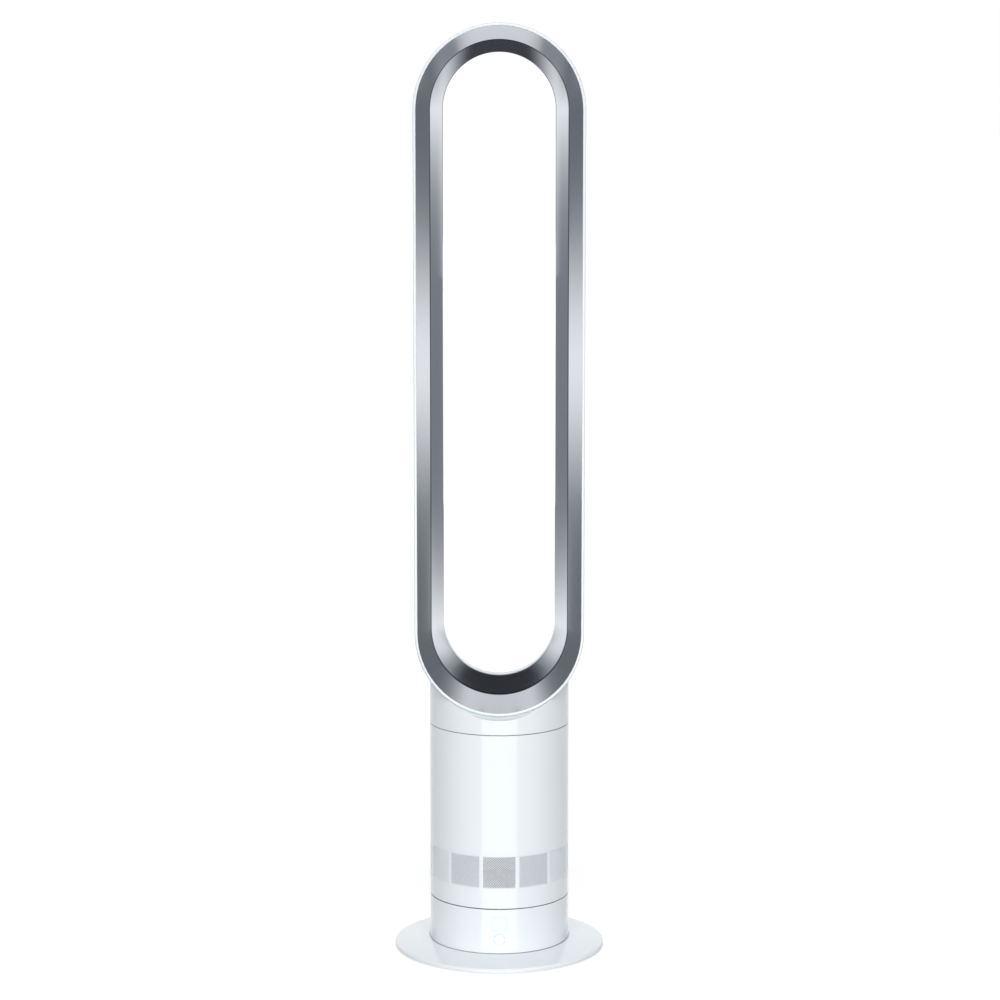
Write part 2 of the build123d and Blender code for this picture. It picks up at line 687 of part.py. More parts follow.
# ---- lower drum ----
def window_prism(grow, near_r, far_r):
    """Rounded rectangle of the display window, as a curved plate between two radii."""
    outline = RectangleRounded(WINDOW_W + 2 * grow, WINDOW_H + 2 * grow, WINDOW_CORNER)
    prism = Pos(0, 0, WINDOW_Z) * extrude(Plane.XZ * outline, far_r)
    return prism & ring(near_r, far_r, 0, TABLE_LOW_Z)


def window_notch(low, high):
    """Space behind the window, cut out of the ledge and the deck."""
    return block((-NOTCH_HALF_W, -INNER_R, low), (NOTCH_HALF_W, BOARD_FRONT_Y, high))


def standoff(x, z):
    half = STANDOFF_SIZE / 2
    wall_y = -math.sqrt(INNER_R**2 - (abs(x) + half) ** 2)
    return block((x - half, wall_y - OVER, z - half), (x + half, BOARD_FRONT_Y, z + half))


def lower_housing():
    body = drum(FOOT_SEAT_Z, LOWER_TOP_Z)
    ledge_low = DECK_LOW_Z - LEDGE_T
    ledge = ring(LEDGE_IN_R, INNER_R + OVER, ledge_low, DECK_LOW_Z)
    body += ledge - window_notch(ledge_low, DECK_LOW_Z)
    body += [pin(x, y, POST_R, POST_LOW_Z, DECK_LOW_Z) for x, y in post_spots()]
    body += [standoff(x, z) for x in (-STANDOFF_X, STANDOFF_X) for z in STANDOFF_ZS]
    body -= [pin(x, y, SCREW_R, POST_LOW_Z, FOOT_SCREW_TOP_Z) for x, y in post_spots()]
    body -= [pin(x, y, SCREW_R, DECK_SCREW_LOW_Z, DECK_LOW_Z) for x, y in post_spots()]
    body -= cross_pin(BUTTON_R + BUTTON_GAP, BUTTON_Z, -BODY_R - OVER, -LEDGE_IN_R)
    body -= window_prism(FIT, INNER_R - OVER, BODY_R + OVER)
    return body - cross_pin(GLAND_HOLE_R, GLAND_Z, LEDGE_IN_R, BODY_R + OVER)


def display_window():
    pane = window_prism(0, INNER_R, BODY_R)
    return pane + window_prism(WINDOW_FLANGE, INNER_R - WINDOW_FLANGE_T, INNER_R)


def control_board():
    return block(
        (-BOARD_HALF_W, BOARD_FRONT_Y, BOARD_LOW_Z),
        (BOARD_HALF_W, BOARD_FRONT_Y + BOARD_T, BOARD_HIGH_Z),
    )


def display_module():
    low_z = WINDOW_Z - DISPLAY_H / 2
    return block(
        (DISPLAY_X - DISPLAY_W / 2, BOARD_FRONT_Y - DISPLAY_DEPTH, low_z),
        (DISPLAY_X + DISPLAY_W / 2, BOARD_FRONT_Y, low_z + DISPLAY_H),
    )


def remote_receiver():
    low_z = WINDOW_Z - RECEIVER_H / 2
    case = block(
        (RECEIVER_X - RECEIVER_W / 2, BOARD_FRONT_Y - RECEIVER_DEPTH, low_z),
        (RECEIVER_X + RECEIVER_W / 2, BOARD_FRONT_Y, low_z + RECEIVER_H),
    )
    return case + Pos(RECEIVER_X, BOARD_FRONT_Y - RECEIVER_DEPTH, WINDOW_Z) * Sphere(RECEIVER_LENS_R)


def button_switch():
    half = SWITCH_W / 2
    face_y = BOARD_FRONT_Y - SWITCH_DEPTH
    case = block((-half, face_y, BUTTON_Z - half), (half, BOARD_FRONT_Y, BUTTON_Z + half))
    return case + cross_pin(SWITCH_PLUNGER_R, BUTTON_Z, STEM_END_Y + SWITCH_REST_GAP, face_y)


def power_button():
    wall_y = -math.sqrt(INNER_R**2 - BUTTON_FLANGE_R**2) + BUTTON_FLANGE_GAP
    flange_end = wall_y + BUTTON_FLANGE_T
    cap = cross_pin(BUTTON_R, BUTTON_Z, -BODY_R - OVER, flange_end)
    cap &= disc(BODY_R, 0, LOWER_TOP_Z)
    cap += cross_pin(BUTTON_FLANGE_R, BUTTON_Z, wall_y, flange_end)
    return cap + cross_pin(BUTTON_STEM_R, BUTTON_Z, flange_end, STEM_END_Y)


def power_board():
    top = SUPPLY_LOW_Z + BOARD_T
    board = block(
        (-SUPPLY_HALF_X, SUPPLY_LOW_Y, SUPPLY_LOW_Z), (SUPPLY_HALF_X, SUPPLY_HIGH_Y, top)
    )
    for (width, depth, height), (x, y) in ((COIL_BLOCK, COIL_BLOCK_AT), (SOCKET_BLOCK, SOCKET_AT)):
        board += block(
            (x - width / 2, y - depth / 2, top), (x + width / 2, y + depth / 2, top + height)
        )
    return board + [pin(x, y, CAN_R, top, top + CAN_H) for x, y in CAN_SPOTS]


def cord_gland():
    """Tapered boot with a groove that holds the drum's wall, and a through bore."""
    outer_y = BODY_R + GLAND_FLANGE_T
    collar_y = INNER_R - GLAND_SAG
    end_y = collar_y - GLAND_IN
    points = [
        (GLAND_BORE_R, end_y),
        (GLAND_HOLE_R + GLAND_COLLAR, end_y),
        (GLAND_HOLE_R + GLAND_COLLAR, collar_y),
        (GLAND_HOLE_R, collar_y),
        (GLAND_HOLE_R, BODY_R),
        (GLAND_FLANGE_R, BODY_R),
        (GLAND_FLANGE_R, outer_y),
        (GLAND_HOLE_R + GLAND_SHOULDER, outer_y),
        (GLAND_TIP_R, BODY_R + GLAND_OUT),
        (GLAND_BORE_R, BODY_R + GLAND_OUT),
    ]
    return Pos(0, 0, GLAND_Z) * Rot(-90, 0, 0) * turned(points)


# ---- deck and swivel ----
def swivel_screw_xs():
    return -SWIVEL_SCREW_X, SWIVEL_SCREW_X


def deck_rib():
    half = DECK_RIB_T / 2
    return block(
        (DECK_BOSS_R - OVER, -half, DECK_LOW_Z - DECK_RIB_H), (DECK_RIB_END_R, half, DECK_LOW_Z)
    )


def base_deck():
    deck = disc(INNER_R - FIT, DECK_LOW_Z, DECK_TOP_Z) - window_notch(DECK_LOW_Z, DECK_TOP_Z)
    deck += disc(DECK_BOSS_R, DECK_BOSS_LOW_Z, DECK_LOW_Z)
    deck += [Rot(0, 0, angle) * deck_rib() for angle in DECK_RIB_ANGLES]
    deck -= disc(HUB_R + RUN, 0, TABLE_LOW_Z)
    deck -= pin(0, PINION_Y, SWIVEL_BOSS_R + FIT, 0, TABLE_LOW_Z)
    deck -= [pin(x, PINION_Y, SMALL_HOLE_R, 0, TABLE_LOW_Z) for x in swivel_screw_xs()]
    return deck - [pin(x, y, SCREW_HOLE_R, DECK_LOW_Z, TABLE_LOW_Z) for x, y in post_spots()]


def deck_screws():
    return [
        upright_screw(x, y, SCREW_R, SCREW_HEAD_R, DECK_TOP_Z, DECK_SCREW_LOW_Z, SCREW_HEAD_H)
        for x, y in post_spots()
    ]


def thrust_ring():
    return ring(THRUST_IN_R, THRUST_OUT_R, DECK_TOP_Z, DECK_TOP_Z + THRUST_T)


def turntable():
    skirt_low = DECK_TOP_Z + THRUST_T + THRUST_GAP
    table = ring(HUB_BORE_R, INNER_R - FIT, TABLE_LOW_Z, TABLE_TOP_Z)
    hub_points = [
        (HUB_BORE_R, HUB_LOW_Z),
        (HUB_R, HUB_LOW_Z),
        (HUB_R, CLIP_LOW_Z),
        (HUB_R - CLIP_DEPTH, CLIP_LOW_Z),
        (HUB_R - CLIP_DEPTH, CLIP_LOW_Z + CLIP_T),
        (HUB_R, CLIP_LOW_Z + CLIP_T),
        (HUB_R, TABLE_LOW_Z),
        (HUB_BORE_R, TABLE_LOW_Z),
    ]
    table += turned(hub_points)
    table += ring(THRUST_IN_R + SKIRT_INSET, THRUST_OUT_R - SKIRT_INSET, skirt_low, TABLE_LOW_Z)
    half = TABLE_RIB_T / 2
    rib = block((HUB_R, -half, TABLE_TOP_Z), (TABLE_RIB_END_R, half, TABLE_TOP_Z + TABLE_RIB_H))
    table += around(rib, TABLE_RIBS, TABLE_RIB_FIRST)
    table -= [pin(x, y, SCREW_HOLE_R, TABLE_LOW_Z, TABLE_TOP_Z) for x, y in housing_post_spots()]
    return table - [
        Rot(0, 0, angle) * pin(0, SECTOR_SCREW_AT_R, SMALL_HOLE_R, TABLE_LOW_Z, TABLE_TOP_Z)
        for angle in SECTOR_SCREWS
    ]


def retaining_ring():
    inner = HUB_R - CLIP_DEPTH
    return sector(inner, CLIP_OUT_R, CLIP_LOW_Z, CLIP_LOW_Z + CLIP_T, 90, CLIP_SPAN)


# ---- swivel gears ----
def half_tooth_deg(teeth, radius, thinner):
    """Half the angle that a tooth fills at a radius, from the involute."""
    pitch_r = MODULE * teeth / 2
    base_r = pitch_r * math.cos(math.radians(PRESSURE_DEG))
    at_radius = math.acos(min(1.0, base_r / max(radius, base_r)))
    at_pitch = math.radians(PRESSURE_DEG)
    spread = (math.tan(at_pitch) - at_pitch) - (math.tan(at_radius) - at_radius)
    return math.degrees(math.pi / (2 * teeth) + spread - thinner / (2 * pitch_r))


def tooth_outline(teeth, low_r, high_r, thinner):
    """One tooth pointing along +X, as a closed outline between two radii."""
    base_r = MODULE * teeth / 2 * math.cos(math.radians(PRESSURE_DEG))
    start_r = max(low_r, base_r)
    radii = [start_r + (high_r - start_r) * i / (FLANK_POINTS - 1) for i in range(FLANK_POINTS)]
    if start_r > low_r:
        radii.insert(0, low_r)
    flank = [(r, math.radians(half_tooth_deg(teeth, r, thinner))) for r in radii]
    upper = [(r * math.cos(a), r * math.sin(a)) for r, a in flank]
    lower = [(x, -y) for x, y in reversed(upper)]
    return make_face(Polyline(*upper, *lower, close=True))


def drive_pinion():
    tip_r = PITCH_PINION_R + ADDENDUM
    root_r = PITCH_PINION_R - DEDENDUM
    tooth = tooth_outline(PINION_TEETH, root_r - OVER, tip_r, BACKLASH)
    wheel = Circle(root_r) + [
        Rot(0, 0, 90 + 360 * i / PINION_TEETH) * tooth for i in range(PINION_TEETH)
    ]
    wheel -= Circle(PINION_SHAFT_R)
    return Pos(0, PINION_Y, PINION_LOW_Z) * extrude(wheel, PINION_H)


def pinion_shaft():
    return pin(0, PINION_Y, PINION_SHAFT_R, PINION_SHAFT_LOW_Z, PINION_SHAFT_HIGH_Z)


def sector_gear():
    """Internal toothed sector, with a space over the pinion's rearmost tooth."""
    root_r = PITCH_RING_R + DEDENDUM
    tip_r = PITCH_RING_R - ADDENDUM
    pitch_deg = 360 / RING_TEETH
    half_span = (SECTOR_TEETH // 2 + 0.5) * pitch_deg + SECTOR_END
    start = Rot(0, 0, 90 - half_span)
    rim = Plane.XZ * Pos((tip_r + SECTOR_OUT_R) / 2, SECTOR_T / 2) * Rectangle(
        SECTOR_OUT_R - tip_r, SECTOR_T
    )
    body = start * revolve(rim, Axis.Z, 2 * half_span)
    space = tooth_outline(RING_TEETH, tip_r - OVER, root_r, -BACKLASH)
    cutter = extrude(space, SECTOR_T)
    first = -(SECTOR_TEETH // 2)
    body -= [
        Rot(0, 0, 90 + pitch_deg * (first + i)) * cutter for i in range(2 * -first + 1)
    ]
    low_z = TABLE_LOW_Z - SECTOR_T
    body = Pos(0, 0, low_z) * body
    return body - [
        Rot(0, 0, angle) * pin(0, SECTOR_SCREW_AT_R, SMALL_SCREW_R, low_z, TABLE_LOW_Z)
        for angle in SECTOR_SCREWS
    ]


def gear_screws():
    low_z = TABLE_LOW_Z - SECTOR_T + SCREW_TIP
    screw = upright_screw(
        0, SECTOR_SCREW_AT_R, SMALL_SCREW_R, SMALL_HEAD_R, TABLE_TOP_Z, low_z, SMALL_HEAD_H
    )
    return [Rot(0, 0, angle) * screw for angle in SECTOR_SCREWS]


def swivel_motor():
    points = [(0, SWIVEL_MOTOR_LOW_Z), (SWIVEL_MOTOR_R, SWIVEL_MOTOR_LOW_Z)]
    points += [(SWIVEL_MOTOR_R, DECK_LOW_Z), (0, DECK_LOW_Z)]
    can = Pos(0, PINION_Y, 0) * turned(points, [0, SWIVEL_EDGE_R, SWIVEL_EDGE_R / 2, 0])
    ear = block(
        (-SWIVEL_EAR_HALF, PINION_Y - SWIVEL_EAR_W / 2, DECK_LOW_Z - SWIVEL_EAR_T),
        (SWIVEL_EAR_HALF, PINION_Y + SWIVEL_EAR_W / 2, DECK_LOW_Z),
    )
    can += ear
    can += pin(0, PINION_Y, SWIVEL_BOSS_R, DECK_LOW_Z, DECK_LOW_Z + SWIVEL_BOSS_H)
    can -= pin(0, PINION_Y, PINION_SHAFT_R + RUN, PINION_SHAFT_LOW_Z - SHAFT_END_GAP, TABLE_LOW_Z)
    return can - [pin(x, PINION_Y, SMALL_SCREW_R, 0, TABLE_LOW_Z) for x in swivel_screw_xs()]


def swivel_motor_screws():
    return [
        upright_screw(
            x, PINION_Y, SMALL_SCREW_R, SMALL_HEAD_R, DECK_TOP_Z, SWIVEL_SCREW_LOW_Z, SMALL_HEAD_H
        )
        for x in swivel_screw_xs()
    ]


# ---- main drum and grille ----
def window_span(shrink=0.0):
    """Angle that one grille window fills, less a clearance at each side."""
    return 360 / WINDOWS - math.degrees((GRILLE_BAR + 2 * shrink) / BODY_R)


def main_housing():
    body = drum(MAIN_LOW_Z, MAIN_TOP_Z)
    body += [
        pin(x, y, HOUSING_POST_R, TABLE_TOP_Z, HOUSING_POST_TOP_Z) & disc(BODY_R - OVER, 0, MAIN_TOP_Z)
        for x, y in housing_post_spots()
    ]
    ring_low = GRILLE_LOW_Z - GRILLE_FRAME
    wall_r = INNER_R + OVER
    body += ring(INNER_R - GRILLE_LEDGE_IN, wall_r, ring_low - GRILLE_LEDGE_T, ring_low)
    body += ring(DUCT_LEDGE_IN_R, wall_r, DUCT_LEDGE_LOW_Z, DUCT_LEDGE_LOW_Z + DUCT_LEDGE_T)
    body -= [
        pin(x, y, SCREW_R, TABLE_TOP_Z, HOUSING_HOLE_TOP_Z) for x, y in housing_post_spots()
    ]
    opening = sector(INNER_R - OVER, BODY_R + OVER, GRILLE_LOW_Z, GRILLE_HIGH_Z, -90, window_span())
    return body - around(opening, WINDOWS)


def housing_screws():
    return [
        upright_screw(
            x, y, SCREW_R, SCREW_HEAD_R, TABLE_LOW_Z, HOUSING_HOLE_TOP_Z - SCREW_TIP, SCREW_HEAD_H
        )
        for x, y in housing_post_spots()
    ]


def grille_holes():
    """Staggered diamond holes of one panel, cut radially at the front."""
    span = window_span(HOLE_MARGIN)
    step_deg = span / HOLE_COLUMNS
    height = GRILLE_HIGH_Z - GRILLE_LOW_Z - 2 * HOLE_MARGIN
    step_z = height / HOLE_ROWS
    outline = Polyline(
        (-HOLE_HALF_W, 0), (0, -HOLE_HALF_H), (HOLE_HALF_W, 0), (0, HOLE_HALF_H), close=True
    )
    start_r = INNER_R - GRILLE_T - OVER
    prism = extrude(Plane.XZ.offset(start_r) * make_face(outline), BODY_R + OVER - start_r)
    holes = []
    for row in range(HOLE_ROWS):
        count = HOLE_COLUMNS - row % 2
        z = GRILLE_LOW_Z + HOLE_MARGIN + step_z * (row + 0.5)
        for column in range(count):
            angle = step_deg * (column - (count - 1) / 2)
            holes.append(Rot(0, 0, angle) * Pos(0, 0, z) * prism)
    return holes


def grille_panel():
    """Perforated insert: its raised face fills a window, its frame lies behind the wall."""
    back_r = INNER_R - GRILLE_T
    face = sector(
        back_r,
        BODY_R - GRILLE_RECESS,
        GRILLE_LOW_Z + FIT,
        GRILLE_HIGH_Z - FIT,
        -90,
        window_span(FIT),
    )
    frame = sector(
        back_r,
        INNER_R,
        GRILLE_LOW_Z - GRILLE_FRAME,
        GRILLE_HIGH_Z + GRILLE_FRAME,
        -90,
        window_span(-GRILLE_SIDE),
    )
    return face + frame - grille_holes()


def inlet_grille():
    return around(grille_panel(), WINDOWS)


# ---- air duct ----
def duct_seal():
    low = DUCT_LEDGE_LOW_Z + DUCT_LEDGE_T
    return ring(DUCT_LEDGE_IN_R, INNER_R - FIT, low, low + DUCT_SEAL_T)


def air_duct():
    """Bellmouth, impeller shroud and outer duct in one turned wall."""
    flange_r = INNER_R - FIT
    lean = math.atan2(IMPELLER_END_R - INLET_R, IMPELLER_END_Z - INLET_TOP_Z)
    out_r = DUCT_WALL / math.cos(lean) + INLET_R
    wall_r = DUCT_R + DUCT_WALL
    outline = [
        ((flange_r, SEAL_TOP_Z), 0),
        ((BELL_LIP_R, SEAL_TOP_Z), BELL_EDGE_R),
        ((INLET_R, THROAT_Z), SHROUD_BEND_R),
        ((INLET_R, INLET_TOP_Z), SHROUD_BEND_R),
        ((IMPELLER_END_R, IMPELLER_END_Z), SHROUD_BEND_R),
        ((IMPELLER_END_R, DIFFUSER_LOW_Z), 0),
        ((DUCT_R, DIFFUSER_LOW_Z), 0),
        ((DUCT_R, DUCT_TOP_Z), 0),
        ((flange_r, DUCT_TOP_Z), 0),
        ((flange_r, DUCT_TOP_Z - DUCT_FLANGE_T), 0),
        ((wall_r, DUCT_TOP_Z - DUCT_FLANGE_T), 0),
        ((wall_r, FOAM_SHELF_Z), 0),
        ((FOAM_SHELF_R, FOAM_SHELF_Z), 0),
        ((FOAM_SHELF_R, FOAM_SHELF_Z - DUCT_FLANGE_T), 0),
        ((wall_r, FOAM_SHELF_Z - DUCT_FLANGE_T), 0),
        ((wall_r, IMPELLER_END_Z), SHROUD_BEND_R),
        ((out_r, INLET_TOP_Z), SHROUD_BEND_R),
        ((out_r, THROAT_Z + DUCT_WALL), BELL_EDGE_R),
        ((BELL_LIP_R, SEAL_TOP_Z + DUCT_FLANGE_T), BELL_EDGE_R),
        ((flange_r, SEAL_TOP_Z + DUCT_FLANGE_T), 0),
    ]
    return turned([p for p, _ in outline], [r for _, r in outline])


def silencer_foam():
    inner = DUCT_R + DUCT_WALL + FOAM_GAP
    return ring(inner, INNER_R - FOAM_GAP, FOAM_SHELF_Z, FOAM_TOP_Z)


# ---- impeller and motor ----
def inward(point, across, up):
    """A (radius, height) point moved towards the axis and upwards."""
    return point[0] - across, point[1] + up


def impeller_hub():
    outline = [
        ((SHAFT_R, HUB_NOSE_Z), 0),
        ((HUB_NOSE_R, HUB_NOSE_Z), HUB_EDGE_R),
        (HUB_BEND_LOW, HUB_BEND_R),
        (HUB_BEND_HIGH, HUB_BEND_R),
        ((HUB_END_R, IMPELLER_END_Z - HUB_RIM_T), 0),
        ((HUB_END_R, IMPELLER_END_Z), 0),
        ((HUB_END_R - HUB_WALL, IMPELLER_END_Z), 0),
        (inward(HUB_BEND_HIGH, HUB_WALL, HUB_WALL), HUB_BEND_R),
        (inward(HUB_BEND_LOW, HUB_WALL, HUB_WALL), HUB_EDGE_R),
        ((HUB_CORE_R, HUB_CORE_LOW_Z), 0),
        ((HUB_CORE_R, HUB_CORE_HIGH_Z), 0),
        ((SHAFT_R, HUB_CORE_HIGH_Z), 0),
    ]
    return turned([p for p, _ in outline], [r for _, r in outline])


def blade_envelope():
    """Space that the blades may fill, from inside the hub out to the tip clearance."""
    inlet = INLET_R - TIP_GAP
    points = [
        (HUB_CORE_R, BLADE_LOW_Z),
        (inlet, BLADE_LOW_Z),
        (inlet, INLET_TOP_Z),
        (IMPELLER_END_R - TIP_GAP, IMPELLER_END_Z),
        (HUB_END_R - OVER, IMPELLER_END_Z),
        inward(HUB_BEND_HIGH, OVER, OVER),
        inward(HUB_BEND_LOW, OVER, OVER),
    ]
    return turned(points)


def impeller_blade():
    """Backward-curved strip between two arcs, later trimmed by the envelope."""
    turn = math.radians(BLADE_SHIFT_DEG)
    near = (BLADE_ROOT, BLADE_MIDDLE, BLADE_TIP)
    far = [(x + BLADE_T * math.cos(turn), y + BLADE_T * math.sin(turn)) for x, y in near]
    outline = [ThreePointArc(*near), Line(near[2], far[2])]
    outline += [ThreePointArc(*far), Line(near[0], far[0])]
    strip = extrude(make_face(outline), IMPELLER_END_Z - BLADE_LOW_Z)
    return Pos(0, 0, BLADE_LOW_Z) * strip


def impeller():
    envelope = blade_envelope()
    blade = impeller_blade() & envelope
    return impeller_hub() + around(blade, BLADES)


def motor_shaft():
    return disc(SHAFT_R, SHAFT_LOW_Z, SHAFT_HIGH_Z)


def impeller_nut():
    outline = RegularPolygon(NUT_R, 6) - Circle(SHAFT_R)
    return Pos(0, 0, HUB_NOSE_Z - NUT_H) * extrude(outline, NUT_H)


def rotor_magnet():
    return ring(SHAFT_R, MAGNET_R, STATOR_LOW_Z, STATOR_LOW_Z + STATOR_H)


def bearing(low):
    """Ball bearing as one turned ring with a groove in each face."""
    groove_in = SHAFT_R + BEARING_INNER_T
    groove_out = BEARING_R - BEARING_OUTER_T
    body = ring(SHAFT_R + RUN, BEARING_R, low, low + BEARING_H)
    high = low + BEARING_H
    body -= ring(groove_in, groove_out, low, low + BEARING_GROOVE)
    return body - ring(groove_in, groove_out, high - BEARING_GROOVE, high)


def motor_bucket():
    floor = BUCKET_LOW_Z + BUCKET_FLOOR_T
    cup_r = BEARING_R + BEARING_CUP_WALL
    cup_top = LOWER_BEARING_Z + BEARING_H
    inner_r = BUCKET_R - BUCKET_WALL
    outline = [
        ((BUCKET_HOLE_R, BUCKET_LOW_Z), 0),
        ((BUCKET_R, BUCKET_LOW_Z), BUCKET_EDGE_R),
        ((BUCKET_R, BUCKET_SPLIT_Z), 0),
        ((inner_r, BUCKET_SPLIT_Z), 0),
        ((inner_r, floor), BUCKET_EDGE_R / 2),
        ((STATOR_R, floor), 0),
        ((STATOR_R, STATOR_LOW_Z), 0),
        ((STATOR_SEAT_IN_R, STATOR_LOW_Z), 0),
        ((STATOR_SEAT_IN_R, floor), 0),
        ((cup_r, floor), 0),
        ((cup_r, cup_top), 0),
        ((BEARING_R, cup_top), 0),
        ((BEARING_R, LOWER_BEARING_Z), 0),
        ((BUCKET_HOLE_R, LOWER_BEARING_Z), 0),
    ]
    return turned([p for p, _ in outline], [r for _, r in outline])


def bucket_cap():
    web_top = BUCKET_SPLIT_Z + CAP_WEB_T
    cup_r = BEARING_R + BEARING_CUP_WALL
    cup_top = UPPER_BEARING_Z + BEARING_H
    inner_r = BUCKET_R - CAP_WALL
    crown_z = CAP_TOP_Z - CAP_CROWN
    slant = CAP_WALL * math.sqrt(0.5)
    outline = [
        ((BUCKET_R, BUCKET_SPLIT_Z), 0),
        ((BUCKET_R, CAP_SHOULDER_Z), CAP_BEND_R),
        ((CAP_MID_R, CAP_MID_Z), CAP_BEND_R),
        ((CAP_TOP_R, crown_z), CAP_BEND_R),
        ((0, CAP_TOP_Z), 0),
        ((0, CAP_TOP_Z - CAP_WALL), 0),
        ((CAP_TOP_R, crown_z - CAP_WALL), CAP_BEND_R - CAP_WALL),
        ((CAP_MID_R - slant, CAP_MID_Z - slant), CAP_BEND_R - CAP_WALL),
        ((inner_r, CAP_SHOULDER_Z), CAP_BEND_R - CAP_WALL),
        ((inner_r, web_top), 0),
        ((cup_r, web_top), 0),
        ((cup_r, cup_top), 0),
        ((BEARING_R, cup_top), 0),
        ((BEARING_R, UPPER_BEARING_Z), 0),
        ((BUCKET_HOLE_R, UPPER_BEARING_Z), 0),
        ((BUCKET_HOLE_R, BUCKET_SPLIT_Z), 0),
    ]
    cap = turned([p for p, _ in outline], [r for _, r in outline])
    post = pin(BOARD_POST_AT_R, 0, BOARD_POST_R, web_top, MOTOR_BOARD_Z)
    return cap + around(post, BOARD_POSTS)


def stator_core():
    high = STATOR_LOW_Z + STATOR_H
    core = ring(YOKE_IN_R, STATOR_R, STATOR_LOW_Z, high)
    half = TOOTH_W / 2
    tooth = block((SHOE_R - OVER, -half, STATOR_LOW_Z), (YOKE_IN_R + OVER, half, high))
    tooth += sector(STATOR_BORE_R, SHOE_R, STATOR_LOW_Z, high, 0, SHOE_SPAN)
    return core + around(tooth, TEETH)


def stator_coils():
    tall = STATOR_H + 2 * COIL_OVER
    outline = RectangleRounded(COIL_W, tall, COIL_CORNER_R) - Rectangle(TOOTH_W, STATOR_H)
    coil = extrude(Plane.YZ * outline, COIL_OUT_R - COIL_IN_R)
    middle_z = STATOR_LOW_Z + STATOR_H / 2
    return around(Pos(COIL_IN_R, 0, middle_z) * coil, TEETH)


def motor_board():
    top = MOTOR_BOARD_Z + BOARD_T
    board = ring(MOTOR_BOARD_IN_R, MOTOR_BOARD_R, MOTOR_BOARD_Z, top)
    can = pin(BOARD_CAN_AT_R, 0, BOARD_CAN_R, top, top + BOARD_CAN_H)
    return board + around(can, BOARD_POSTS, 180 / BOARD_POSTS)


def diffuser_ring():
    """Two sleeves joined by vanes that turn the swirling air upright."""
    high = DIFFUSER_LOW_Z + VANE_H
    inner_out = BUCKET_R + SLEEVE_T
    outer_in = DUCT_R - SLEEVE_T
    body = ring(BUCKET_R, inner_out, DIFFUSER_LOW_Z, high)
    body += ring(outer_in, DUCT_R, DIFFUSER_LOW_Z, high)
    foot = (-VANE_LEAN, DIFFUSER_LOW_Z + VANE_END_GAP)
    bend = (-VANE_BEND[0] * VANE_LEAN, DIFFUSER_LOW_Z + VANE_BEND[1] * VANE_H)
    head = (0, high - VANE_END_GAP)
    moved = [(x + VANE_T, z) for x, z in (foot, bend, head)]
    outline = [ThreePointArc(foot, bend, head), Line(head, moved[2])]
    outline += [ThreePointArc(*moved), Line(foot, moved[0])]
    vane = extrude(Plane.XZ * make_face(outline), -DUCT_R)
    vane &= ring(inner_out - OVER, outer_in + OVER, DIFFUSER_LOW_Z, high)
    return body + around(vane, VANES)


# ---- bayonet lock ----
def lug_angles():
    return [LUG_FIRST + 360 * i / LUGS for i in range(LUGS)]


def lock_ring():
    outer = INNER_R - FIT
    tab_low = SPIGOT_LOW_Z + LUG_H + TAB_GAP
    body = ring(LOCK_RING_IN_R, outer, DUCT_TOP_Z, LOCK_RING_TOP_Z)
    flange_top = DUCT_TOP_Z + LOCK_FLANGE_T
    body += ring(LOCK_FLANGE_IN_R, outer, DUCT_TOP_Z, flange_top)
    wall_r = LOCK_RING_IN_R + OVER
    for angle in lug_angles():
        stop_at = angle - LUG_SPAN / 2 - STOP_GAP - STOP_SPAN / 2
        body += sector(TAB_IN_R, wall_r, tab_low, tab_low + TAB_H, angle, TAB_SPAN)
        body += sector(LOCK_FLANGE_IN_R, wall_r, flange_top, tab_low, stop_at, STOP_SPAN)
    return body


def loop_seal():
    middle = (SPIGOT_IN_R + SPIGOT_OUT_R) / 2
    return ring(
        middle - LOOP_SEAL_W / 2, middle + LOOP_SEAL_W / 2, DUCT_TOP_Z, DUCT_TOP_Z + LOOP_SEAL_T
    )


# ---- loop sections, drawn as (distance from the loop's middle line, Y) ----
def polar(centre, radius, angle_deg):
    angle = math.radians(angle_deg)
    return centre[0] + radius * math.cos(angle), centre[1] + radius * math.sin(angle)


def shell_section():
    points = [
        ((LOOP_R, LOOP_WIDEST_Y), 0),
        ((LOOP_R, LOOP_FRONT_Y), RIM_OUT_R),
        ((LOOP_INNER_R, LOOP_FRONT_Y), RIM_IN_FILLET),
        ((LOOP_INNER_R, LOOP_WIDEST_Y + TONGUE_L), 0),
        ((LOOP_INNER_R + TONGUE_T, LOOP_WIDEST_Y + TONGUE_L), 0),
        ((LOOP_INNER_R + TONGUE_T, LOOP_WIDEST_Y), 0),
    ]
    corners = [p for p, _ in points]
    return make_face(FilletPolyline(*corners, radius=[r for _, r in points], close=True))


